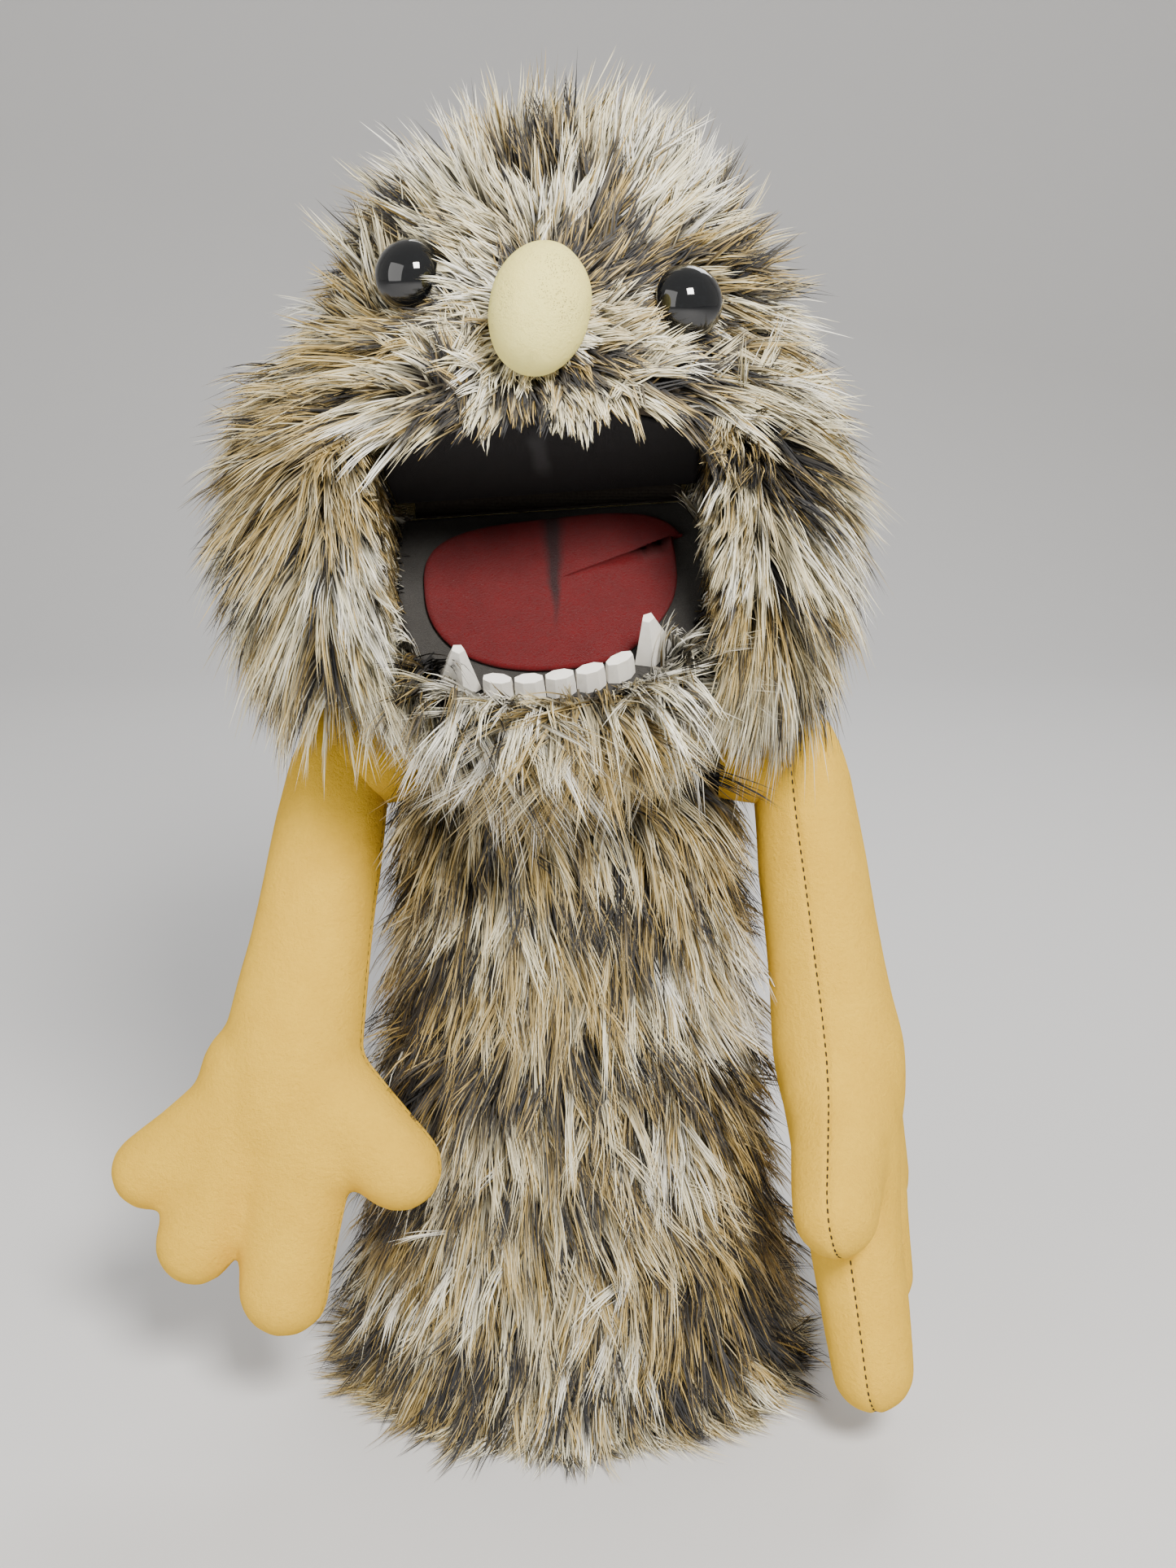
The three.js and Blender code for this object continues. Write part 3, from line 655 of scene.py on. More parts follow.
def plate_reach(across: Array, half: float, length: float) -> Array:
    """How far the rounded front of a mouth plate reaches.

    Args:
        across: Distances from its middle line.
        half: Half its width.
        length: Its reach on the middle line.

    Returns:
        The reach at each distance.
    """
    square = 2.5
    return length * np.maximum(0, 1 - abs(across / half) ** square) ** (1 / square)


def band(
    name: str, path: Array, across: Sequence[float], half: float, wall: float, place: Matrix,
) -> Piece:
    """A cloth band with bound edges that follows a path.

    Args:
        name: Its name.
        path: Its middle line, n by 3.
        across: The way its width runs.
        half: Half its width.
        wall: Its thickness.
        place: Its frame.

    Returns:
        The band.
    """
    out = unit(np.cross(np.gradient(path, axis=0), np.array(across)))
    a = np.linspace(0, 2 * math.pi, 32, endpoint=False)
    wide = half * np.sign(np.cos(a)) * abs(np.cos(a)) ** 0.35
    binding = 0.72 + 0.28 * np.exp(-(((half - abs(wide)) / 1.6) ** 2))
    thick = wall / 2 * np.sign(np.sin(a)) * abs(np.sin(a)) ** 0.35 * binding
    ribs = 0.04 * wall * np.sin(np.arange(len(path)) * 2.1)[:, None, None]
    rows = path[:, None, :] + np.array(across) * wide[None, :, None]
    rows = rows + out[:, None, :] * (thick[None, :, None] + ribs)
    faces: list[tuple[int, ...]] = list(grid_faces(len(path), len(a), True))
    faces.append(tuple(range(len(a)))[::-1])
    faces.append(tuple((len(path) - 1) * len(a) + i for i in range(len(a))))
    made = mesh_object(name, placed(rows.reshape(-1, 3), place), faces)
    bm = bmesh.new()
    bm.from_mesh(made.data)
    bmesh.ops.recalc_face_normals(bm, faces=bm.faces)
    bm.to_mesh(made.data)
    bm.free()
    return made


# ---- Fur -----------------------------------------------------------------------------
@dataclass
class Pile:
    """How the pile of one coat grows, worked out at each lock's root, in millimetres."""

    length: Callable[[Array, Array], Array]
    flow: Callable[[Array, Array], Array]
    lift: Callable[[Array, Array], Array]
    tint: Callable[[Array, Array], Array]
    droop: Callable[[Array, Array], Array]
    dense: Callable[[Array], Array] = lambda p: np.ones(len(p))


@dataclass
class FurCoat:
    """Locks of ribbon strands grown on a skin mesh."""

    name: str
    pile: Pile
    locks_per_cm2: float = 5.6
    strands: int = 13
    lock_radius: float = 3.3
    strand_width: float = 0.62
    steps: int = 4
    seed: int = 1
    gather: float = 0.80
    scatter: float = 0.30
    curl: float = 1.0

    def _roots(self, skin: Piece, to_local: Matrix, rng: np.random.Generator) -> tuple[Array, Array]:
        """Scatters lock roots evenly over the skin.

        Args:
            skin: The skin.
            to_local: Into the local frame.
            rng: The coat's random numbers.

        Returns:
            The roots and the skin's normals there.
        """
        mesh = skin.data
        mesh.calc_loop_triangles()
        co = placed(read(mesh.vertices, "co", 3), to_local)
        no = read(mesh.vertices, "normal", 3) @ np.array(to_local)[:3, :3].T
        tris = read(mesh.loop_triangles, "vertices", 3, np.int32)
        a, b, c = co[tris[:, 0]], co[tris[:, 1]], co[tris[:, 2]]
        area = np.linalg.norm(np.cross(b - a, c - a), axis=1) / 2 * self.pile.dense((a + b + c) / 3)
        count = int(area.sum() / 100 * self.locks_per_cm2)
        edges = np.cumsum(area)
        spots = (np.arange(count) + rng.random(count)) / count * edges[-1]
        pick = np.searchsorted(edges, spots).clip(0, len(tris) - 1)
        u, v = rng.random(count), rng.random(count)
        u, v = np.where(u + v > 1, 1 - u, u), np.where(u + v > 1, 1 - v, v)
        w = np.stack([1 - u - v, u, v], axis=1)[:, :, None]
        root = (co[tris[pick]] * w).sum(axis=1)
        return root, unit((no[tris[pick]] * w).sum(axis=1))

    def _lines(self, root: Array, normal: Array, rng: np.random.Generator) -> tuple[Array, Array]:
        """The middle line of every strand.

        Args:
            root: Each lock's root.
            normal: The skin's normal there.
            rng: The coat's random numbers.

        Returns:
            Strands by steps by 3 points, and each strand's skin normal.
        """
        locks, many = len(root), len(root) * self.strands
        flow = self.pile.flow(root, normal) + rng.normal(0, self.scatter, (locks, 3))
        flow = unit(flow - normal * np.sum(flow * normal, axis=1, keepdims=True))
        lift = self.pile.lift(root, normal) + rng.normal(0, 0.12, locks)
        lift = np.clip(lift, 0.08, 0.98)[:, None]
        heading = unit(normal * lift + flow * np.sqrt(1 - lift**2))
        length = self.pile.length(root, normal) * rng.uniform(0.70, 1.14, locks)
        n, h, f, lock_wave, droop, size = (
            np.repeat(v, self.strands, axis=0) for v in (
                normal, heading, flow, unit(rng.normal(0, 1, (locks, 3))),
                self.pile.droop(root, normal), length,
            )
        )
        spread = rng.normal(0, self.lock_radius * 0.55, (many, 3))
        spread -= n * np.sum(spread * n, axis=1, keepdims=True)
        loose = 1 - self.gather * rng.uniform(0.55, 1.25, (many, 1, 1))
        size = (size * rng.uniform(0.72, 1.08, many))[:, None, None]
        droop = (droop * rng.uniform(0.8, 1.2, many))[:, None, None]
        wave = unit(rng.normal(0, 1, (many, 3)))[:, None, :]
        bend = (f * 0.6 + np.array([0.0, 0.0, -0.6]))[:, None, :]
        t = np.linspace(0, 1, self.steps + 1)[None, :, None]
        line = (
            np.repeat(root, self.strands, axis=0)[:, None, :]
            + spread[:, None, :] * (1 - (1 - loose) * t**1.1)
            + h[:, None, :] * size * (t - 0.22 * droop * t**2)
            + bend * size * droop * 0.55 * t**2
            + lock_wave[:, None, :] * size * self.curl * (0.13 * t**1.4 - 0.10 * t**3)
            + wave * size * 0.075 * t**1.5
        )
        under = np.maximum(0, 0.6 + rng.uniform(0, 2.2, (many, 1)) - line[:, :, 2])
        line[:, :, 2] += under
        side = n * np.array([1.0, 1.0, 0.0])
        line += side[:, None, :] * np.minimum(under, 18)[:, :, None] * 0.42
        return line, n

    def _ribbons(self, line: Array, n: Array, rng: np.random.Generator) -> tuple[Array, Array]:
        """Widens the strands into ribbons.

        Args:
            line: The strands' middle lines.
            n: Each strand's skin normal.
            rng: The coat's random numbers.

        Returns:
            The points and the shading normals, strands by points by 3.
        """
        many, k = len(line), self.steps
        t = np.linspace(0, 1, k + 1)[None, :, None]
        along = np.gradient(line, axis=1)
        along /= np.maximum(np.linalg.norm(along, axis=2, keepdims=True), 1e-9)
        facing = unit(n + rng.normal(0, 0.5, (many, 3)))[:, None, :]
        side = np.cross(along, np.broadcast_to(facing, along.shape))
        side /= np.maximum(np.linalg.norm(side, axis=2, keepdims=True), 1e-9)
        taper = self.strand_width * 0.5 * (1 - 0.8 * t**2.4) * rng.uniform(0.65, 1.3, (many, 1, 1))
        left, right = line - side * taper, line + side * taper
        points = np.concatenate([left[:, :k], right[:, :k], line[:, k:]], axis=1)
        out = np.cross(side, along) * 0.62 + n[:, None, :] * 0.66 + rng.normal(0, 0.12, (many, 1, 3))
        out /= np.maximum(np.linalg.norm(out, axis=2, keepdims=True), 1e-9)
        return points, np.concatenate([out[:, :k], out[:, :k], out[:, k:]], axis=1)

    def _shades(self, tint: Array, rng: np.random.Generator) -> Array:
        """The map coordinates that give each strand its tint and its shading along itself.

        Args:
            tint: Each strand's tint.
            rng: The coat's random numbers.

        Returns:
            Strands by points by 2 coordinates.
        """
        many, k = len(tint), self.steps
        stray = rng.random(many)
        tint = tint + rng.normal(0, 0.06, many)
        tint = np.where(stray < 0.08, rng.uniform(0.02, 0.2, many), tint)
        tint = np.where(stray > 0.94, rng.uniform(0.3, 0.42, many), tint)
        tint = np.where((stray > 0.45) & (stray < 0.57), tint + 0.22, tint)
        shade = np.clip(tint, 0.02, 0.98)
        edge = np.full((many, k), 0.002)
        u = np.concatenate([-edge, edge, np.zeros((many, 1))], axis=1)
        t = np.linspace(0, 1, k + 1)[None, :k].repeat(many, 0)
        v = np.concatenate([t, t, np.ones((many, 1))], axis=1)
        return np.stack([shade[:, None] + u, v * 0.98 + 0.01], axis=2)

    def build(self, skin: Piece, local: Matrix, sectors: Callable[[Array], Array]) -> list[Piece]:
        """Grows the coat, in pieces.

        Args:
            skin: The skin to grow on.
            local: The frame the pile is described in.
            sectors: The number of the piece that a root belongs to.

        Returns:
            The pieces, by number.
        """
        rng = np.random.default_rng(self.seed)
        root, normal = self._roots(skin, local.inverted(), rng)
        tint = np.repeat(self.pile.tint(root, normal) + rng.normal(0, 0.10, len(root)), self.strands)
        line, n = self._lines(root, normal, rng)
        points, normals = self._ribbons(line, n, rng)
        uv = self._shades(tint, rng)
        which = np.repeat(sectors(root), self.strands)
        made = []
        for number in range(int(which.max()) + 1):
            pick = which == number
            turned = normals[pick].reshape(-1, 3) @ np.array(local)[:3, :3].T
            world = placed(points[pick].reshape(-1, 3), local)
            name = f"{self.name}_{number + 1}"
            made.append(self._object(name, world, unit(turned), uv[pick].reshape(-1, 2)))
        return made

    def _object(self, name: str, world: Array, normals: Array, uv: Array) -> Piece:
        """One piece of the coat.

        Args:
            name: Its name.
            world: Its points, in metres.
            normals: The shading normals.
            uv: The map coordinates.

        Returns:
            The piece.
        """
        k, per = self.steps, 2 * self.steps + 1
        first = (np.arange(len(world) // per) * per)[:, None]
        quads = np.concatenate([first + np.array([(i, k + i, k + i + 1, i + 1)]) for i in range(k - 1)])
        tips = first + np.array([(k - 1, 2 * k - 1, 2 * k)])
        corners = np.concatenate([quads.ravel(), tips.ravel()]).astype(np.int32)
        totals = np.concatenate([np.full(len(quads), 4), np.full(len(tips), 3)]).astype(np.int32)
        mesh = bpy.data.meshes.new(name)
        mesh.vertices.add(len(world))
        mesh.vertices.foreach_set("co", world.ravel())
        mesh.loops.add(len(corners))
        mesh.loops.foreach_set("vertex_index", corners)
        mesh.polygons.add(len(totals))
        starts = np.concatenate([[0], np.cumsum(totals)[:-1]]).astype(np.int32)
        mesh.polygons.foreach_set("loop_start", starts)
        mesh.polygons.foreach_set("use_smooth", np.ones(len(totals), bool))
        set_map(mesh, uv)
        mesh.update(calc_edges=True)
        mesh.normals_split_custom_set_from_vertices(normals.tolist())
        LOG.info("%s: %d triangles", name, len(quads) * 2 + len(tips))
        return in_scene(name, mesh)


# ---- Sub-assemblies ------------------------------------------------------------------
@dataclass(frozen=True)
class Mottle:
    """The blotched colouring of the pile: a tint from 0, charcoal, to 1, white."""

    base: float = 0.68
    swing: float = 0.34
    gold: float = 0.59
    dark: float = 0.59
    pale: float = 0.58
    grain: float = 1.1
    stretch: tuple[float, float, float] = (1.0, 1.0, 1.0)
    seed: int = 10

    def __call__(self, p: Array) -> Array:
        """The tint at points.

        Args:
            p: n by 3 points, in millimetres.

        Returns:
            n tints.
        """
        q = p * np.array(self.stretch) / self.grain
        tint = self.base + self.swing * (value_noise(q, 26, self.seed) - 0.5)
        pale = value_noise(q, 13, self.seed + 1)
        gold = value_noise(q, 17, self.seed + 2)
        dark = value_noise(q, 11, self.seed + 3)
        tint = np.where(pale > self.pale, 0.90, tint)
        tint = np.where(gold > self.gold, 0.38, tint)
        return np.where(dark > self.dark, 0.07, tint)


@dataclass
class Eye:
    """A dome eye set into the face."""

    side: int
    word: str
    radius: float = 12.5
    height: float = 12.0
    out: float = 70.0
    azimuth: float = 48.0
    elevation: float = 16.0
    z: float = 79.0
    axis_y: float = -2.0

    def frame(self, layout: Layout) -> Matrix:
        """The eye's frame, looking along its Z.

        Args:
            layout: The maker's frames.

        Returns:
            The frame.
        """
        azimuth, rise = math.radians(self.azimuth), math.radians(self.elevation)
        across, ahead = self.side * math.sin(azimuth), -math.cos(azimuth)
        at = Vector((self.out * across, self.axis_y + self.out * ahead, self.z))
        look = Vector((across * math.cos(rise), ahead * math.cos(rise), math.sin(rise)))
        turn = Vector((0, 0, 1)).rotation_difference(look).to_matrix().to_4x4()
        return layout.head() @ Matrix.Translation(at) @ turn

    def build(self, layout: Layout, look: Look) -> Piece:
        """Turns the dome.

        Args:
            layout: The maker's frames.
            look: Its material.

        Returns:
            The eye.
        """
        angle = np.linspace(0, math.pi / 2, 22)
        line = [(0.0, -2.0), (self.radius * 0.9, -2.0), (self.radius * 0.985, -0.6)]
        line += [(self.radius * math.cos(a), self.height * math.sin(a)) for a in angle[:-1]]
        around = np.linspace(0, 2 * math.pi, 64, endpoint=False)
        rows = [[(r * math.cos(b), r * math.sin(b), z) for b in around] for r, z in line[1:]]
        verts = np.array([*np.concatenate(rows), (0, 0, self.height), (0, 0, -2.0)])
        faces: list[tuple[int, ...]] = list(grid_faces(len(rows), 64, True))
        top, under, last = len(verts) - 2, len(verts) - 1, (len(rows) - 1) * 64
        faces += [(last + i, last + (i + 1) % 64, top) for i in range(64)]
        faces += [((i + 1) % 64, i, under) for i in range(64)]
        made = mesh_object(f"dome_{self.word}", placed(verts, self.frame(layout)), faces)
        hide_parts(f"eye_{self.word}")
        return dress(made, look, "eye_black", "head")


@dataclass
class Nose:
    """A padded egg with a small tuck at its lower tip."""

    radius: float = 16.5
    up: float = 21.0
    down: float = 22.0
    at: tuple[float, float, float] = (-7.0, -86.0, 75.0)
    lean: float = 12.0

    def frame(self, layout: Layout) -> Matrix:
        """The egg's frame."""
        lean = Matrix.Rotation(math.radians(self.lean - layout.head_roll), 4, "Y")
        return layout.head() @ Matrix.Translation(self.at) @ lean

    def build(self, layout: Layout, look: Look) -> Piece:
        """Shapes the egg.

        Args:
            layout: The maker's frames.
            look: Its material.

        Returns:
            The nose.
        """
        rows, columns = 56, 80
        rise = np.linspace(-math.pi / 2 + 0.02, math.pi / 2 - 0.02, rows)
        around = np.linspace(0, 2 * math.pi, columns, endpoint=False)
        a, b = np.meshgrid(rise, around, indexing="ij")
        z = np.sin(a) * np.where(np.sin(a) > 0, self.up, self.down)
        r = self.radius * np.cos(a) ** 0.96
        tuck = np.exp(-(((b - 1.5 * math.pi) / 0.10) ** 2)) * np.clip((-z - 12) / 12, 0, 1)
        r = r * (1 - 0.15 * tuck)
        verts = np.stack([r * np.cos(b), r * np.sin(b), z], axis=2).reshape(-1, 3)
        verts += (value_noise(verts, 9, 31)[:, None] - 0.5) * 0.5
        faces: list[tuple[int, ...]] = list(grid_faces(rows, columns, True))
        faces.append(tuple(range(columns))[::-1])
        faces.append(tuple((rows - 1) * columns + i for i in range(columns)))
        made = mesh_object("nose", placed(verts, self.frame(layout)), faces)
        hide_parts("nose_cover", "nose_core")
        return dress(made, look, "nose_fleece", "head")


@dataclass
class Head:
    """The fur head: its skin, the walls beside the mouth and its pile."""

    profile: tuple[tuple[float, float], ...] = (
        (78, -56), (88, -36), (93, -12), (90, 14), (83, 38),
        (70, 65), (57, 85), (42, 100), (22, 112), (0, 117),
    )
    axis_y: float = -2.0
    skin: float = 1.5
    cheeks: tuple[float, float] = (10.0, 6.0)
    slot_half: float = 61.0
    slot_top: float = 3.0
    slot_back: float = 24.0
    nose: tuple[float, float, float] = (-8.4, -99.0, 440.0)
    mottle: Mottle = Mottle(seed=11, dark=0.64, gold=0.61)

    def _shell(self, grow: float, rows: int, columns: int) -> Array:
        """The turned form, grown by a distance.

        Args:
            grow: The distance.
            rows: Rows of points.
            columns: Points round.

        Returns:
            rows by columns by 3 points.
        """
        line = spline(self.profile, rows)
        slope = np.gradient(line, axis=0)
        out = np.stack([slope[:, 1], -slope[:, 0]], axis=1)
        out /= np.linalg.norm(out, axis=1, keepdims=True)
        line = line + out * grow
        line[-1, 0] = 0.05
        b = np.linspace(0, 2 * math.pi, columns, endpoint=False)
        cheek = np.clip((abs(np.cos(b)) - 0.60) / 0.3, 0, 1) * np.clip((50 - line[:, 1:]) / 35, 0, 1)
        radius = line[:, :1] + cheek * np.where(np.cos(b) < 0, self.cheeks[0], self.cheeks[1])
        x, y = radius * np.cos(b), self.axis_y + radius * np.sin(b)
        return np.stack([x, y, np.broadcast_to(line[:, 1:], x.shape)], axis=2)

    def _in_slot(self, layout: Layout, points: Array) -> Array:
        """Which points of the head's frame are in the opening for the mouth."""
        q = placed(points, layout.palate().inverted() @ layout.head())
        return (abs(q[:, 0]) < self.slot_half) & (q[:, 2] < self.slot_top) & (q[:, 1] < self.slot_back)

    def _radius(self, z: Array) -> Array:
        """The form's radius at heights."""
        line = spline(self.profile, 80)
        return np.interp(z, line[:, 1], line[:, 0])

    def skin_mesh(self, layout: Layout) -> Piece:
        """The cloth under the pile, with the walls at the sides of the mouth.

        Args:
            layout: The maker's frames.

        Returns:
            The skin.
        """
        rows, columns = 64, 132
        shell = self._shell(self.skin, rows, columns)
        verts = shell.reshape(-1, 3)
        faces = np.array(grid_faces(rows, columns, True))
        centres = verts[faces].mean(axis=1)
        faces = faces[~self._in_slot(layout, centres)]
        parts, kept = [verts], [faces]
        offset = len(verts)
        for side in (-1, 1):
            wall, ring = self._wall(layout, side)
            parts.append(wall)
            kept.append(ring + offset)
            offset += len(wall)
        return mesh_object("head_skin", placed(np.concatenate(parts), layout.head()), np.concatenate(kept))

    def _wall(self, layout: Layout, side: int) -> tuple[Array, Array]:
        """The wall beside the mouth, in the head's frame.

        Args:
            layout: The maker's frames.
            side: -1 or 1.

        Returns:
            Its points and faces.
        """
        rows, columns = 30, 26
        y, z = np.meshgrid(np.linspace(-95, -4, columns), np.linspace(-70, self.slot_top, rows))
        wall = np.stack([np.full(y.size, side * (self.slot_half - 0.5)), y.ravel(), z.ravel()], axis=1)
        wall = placed(wall, layout.head().inverted() @ layout.palate())
        faces = np.array(grid_faces(rows, columns))
        if side > 0:
            faces = faces[:, ::-1]
        centre = wall[faces].mean(axis=1)
        away = np.hypot(centre[:, 0], centre[:, 1] - self.axis_y)
        inside = (away < self._radius(centre[:, 2]) + 1) & (centre[:, 2] > self.profile[0][1])
        return wall, faces[inside]

    def pile(self, layout: Layout, eyes: Sequence[Vector]) -> Pile:
        """How the head's pile grows, in the maker's frame.

        Args:
            layout: The maker's frames.
            eyes: The middles of the eyes.

        Returns:
            The pile.
        """
        nose = np.array(self.nose)
        eye_at = np.array([tuple(e) for e in eyes])
        into_palate = layout.palate().inverted() @ layout.body()

        def away(p: Array) -> Array:
            return np.linalg.norm(p - nose, axis=1)

        def near_eye(p: Array) -> Array:
            gap = np.min(np.linalg.norm(p[:, None, :] - eye_at[None], axis=2), axis=1)
            return np.clip((26 - gap) / 12, 0, 1)

        def wall(p: Array) -> Array:
            q = placed(p, into_palate)
            return (abs(abs(q[:, 0]) - self.slot_half) < 1.2) & (q[:, 2] < self.slot_top) & (q[:, 1] < 0)

        def rim(p: Array) -> Array:
            q = placed(p, into_palate)
            beside = np.clip((80 - abs(q[:, 0])) / 8, 0, 1) * (abs(q[:, 0]) > self.slot_half - 1)
            return beside * np.clip((12 - q[:, 2]) / 8, 0, 1) * (q[:, 1] < 10)

        def lip(p: Array) -> Array:
            q = placed(p, into_palate)
            ahead = np.clip((-45 - q[:, 1]) / 20, 0, 1)
            return np.clip((16 - q[:, 2]) / 12, 0, 1) * ahead * (abs(q[:, 0]) < 60)

        def length(p: Array, n: Array) -> Array:
            grown = 12 + 27 * np.clip((away(p) - 22) / 62, 0, 1)
            grown = grown * (1 - 0.40 * near_eye(p)) - 5 * lip(p)
            low = np.clip((345 - p[:, 2]) / 30, 0, 1)
            cheek = np.clip((425 - p[:, 2]) / 40, 0, 1) * np.clip((abs(p[:, 0] + 8) - 50) / 25, 0, 1)
            crown = np.clip((p[:, 2] - 455) / 20, 0, 1)
            edge = 0.35 * rim(p)
            return np.where(wall(p), 12.0, (grown - 5 * cheek + 6 * low + 1.5 * crown) * (1 - edge))

        def flow(p: Array, n: Array) -> Array:
            out = unit(p - nose)
            low = np.clip((415 - p[:, 2]) / 70, 0, 1) * 0.8 + np.clip(p[:, 1] / 60, 0, 1) * 0.9 + lip(p) * 0.6
            crown = np.clip((p[:, 2] - 455) / 25, 0, 1)
            a, b = value_noise(p, 21, 5)[:, None] - 0.5, value_noise(p, 21, 6)[:, None] - 0.5
            turn = np.concatenate([a, np.zeros_like(a), b], axis=1) * 2.2
            made = out + np.array([0, 0, -1.0]) * (low * (1 - crown))[:, None] + turn
            inward = np.stack([-np.sign(p[:, 0] + 8), np.full(len(p), -0.5), np.full(len(p), -0.8)], axis=1)
            made = made * (1 - rim(p)[:, None]) + (inward + 0.5 * turn) * rim(p)[:, None]
            return np.where(wall(p)[:, None], np.array([0.0, -1.0, -0.5]) + 0.5 * turn, made)

        def lift(p: Array, n: Array) -> Array:
            crown = np.clip((p[:, 2] - 430) / 50, 0, 1)
            cheek = np.clip((430 - p[:, 2]) / 50, 0, 1)
            fluff = 0.16 * (value_noise(p, 12, 8) - 0.5)
            made = (0.46 + 0.36 * crown + 0.22 * cheek + fluff) * (1 - 0.6 * near_eye(p))
            return np.where(wall(p), 0.5, made)

        def tint(p: Array, n: Array) -> Array:
            made = self.mottle(p)
            corner = np.exp(-(((p[:, 0] + 74) / 12) ** 2 + ((p[:, 2] - 398) / 13) ** 2)) * (p[:, 1] < -10)
            corner += np.exp(-(((p[:, 0] - 62) / 12) ** 2 + ((p[:, 2] - 338) / 12) ** 2)) * (p[:, 1] < -10)
            streak = (p[:, 0] > 48) & (value_noise(p * (0.45, 1, 1.2), 11, 44) > 0.80)
            made = np.where(corner > 0.4, 0.36, made)
            return np.where(streak & ~wall(p), 0.07, made)

        def droop(p: Array, n: Array) -> Array:
            return 0.15 + 0.70 * np.clip((450 - p[:, 2]) / 90, 0, 1)

        def dense(p: Array) -> Array:
            near = 1 + 0.9 * np.clip((60 - away(p)) / 30, 0, 1)
            low = 0.6 * (p[:, 2] < 330) - 0.35 * (p[:, 1] > 30)
            return np.where(wall(p), 1.6, near + 0.8 * lip(p) + 0.8 * rim(p) + low)

        return Pile(length, flow, lift, tint, droop, dense)


@dataclass
class Jaw:
    """The lower jaw: its skin and the beard."""

    middle: float = 35.0
    half_width: float = 59.5
    front: float = 65.0
    rear: float = 60.0
    depth: float = 44.0
    plate_half: float = 56.6
    plate_front: float = 65.6
    plate_side: float = 30.0
    mottle: Mottle = Mottle(seed=21, base=0.90, swing=0.3, dark=0.71, gold=0.69, pale=0.42)

    def skin_mesh(self, layout: Layout) -> Piece:
        """The cloth under the beard.

        Args:
            layout: The maker's frames.

        Returns:
            The skin.
        """
        rows, columns = 22, 96
        a, b = np.meshgrid(
            np.linspace(0.0, math.pi / 2 - 0.03, rows), np.linspace(0, 2 * math.pi, columns, endpoint=False),
            indexing="ij",
        )
        y = np.sin(b) * np.cos(a)
        bowl = np.stack([
            self.half_width * np.cos(b) * np.cos(a),
            np.where(y < 0, self.front, self.rear) * y - self.middle,
            -self.depth * np.sin(a) - 0.4,
        ], axis=2)
        rim = bowl[0]
        ahead = np.sin(b[0]) < 0
        across = self.plate_half * np.cos(b[0])
        reach = plate_reach(across, self.plate_half, self.plate_front)
        edge = np.stack([
            np.where(ahead, across, np.sign(rim[:, 0]) * self.plate_half),
            np.where(ahead, -self.plate_side - reach, rim[:, 1]),
            np.full(columns, 0.5),
        ], axis=1)
        fold = (edge + rim) / 2 + np.array([0, 0, 1.1])
        verts = np.concatenate([[edge, fold], bowl]).reshape(-1, 3)
        faces = np.array(grid_faces(rows + 2, columns, True))[:, ::-1]
        centre = verts[faces].mean(axis=1)
        return mesh_object("jaw_skin", placed(verts, layout.jaw()), faces[centre[:, 1] < -5])

    def pile(self, layout: Layout) -> Pile:
        """How the beard grows, in the maker's frame.

        Args:
            layout: The maker's frames.

        Returns:
            The pile.
        """
        into_jaw = layout.jaw().inverted() @ layout.body()
        turn = np.array(layout.body().inverted() @ layout.jaw())[:3, :3]
        up = turn[:, 2]

        def rim(p: Array) -> Array:
            return np.clip((placed(p, into_jaw)[:, 2] + 7) / 6, 0, 1)

        def flow(p: Array, n: Array) -> Array:
            side = np.stack([(p[:, 0] + 8) / 55, np.full(len(p), -0.1), np.full(len(p), -1.0)], axis=1)
            sway = np.stack([value_noise(p, 17, 9) - 0.5, np.zeros(len(p)), np.zeros(len(p))], axis=1) * 1.6
            made = side + sway
            out = unit((placed(p, into_jaw) + np.array([0, 40, 0])) * np.array([1, 1, 0])) @ turn.T
            return made * (1 - rim(p)[:, None]) + (0.7 * up + out + 0.15 * made) * rim(p)[:, None]

        return Pile(
            length=lambda p, n: 38 + 8 * np.clip((-60 - p[:, 1]) / 25, 0, 1) - 14 * rim(p),
            flow=flow,
            lift=lambda p, n: 0.46 + 0.12 * rim(p),
            tint=lambda p, n: self.mottle(p),
            droop=lambda p, n: 0.8 + 0.25 * rim(p),
            dense=lambda p: 1 + 1.8 * (placed(p, into_jaw)[:, 2] > -12),
        )


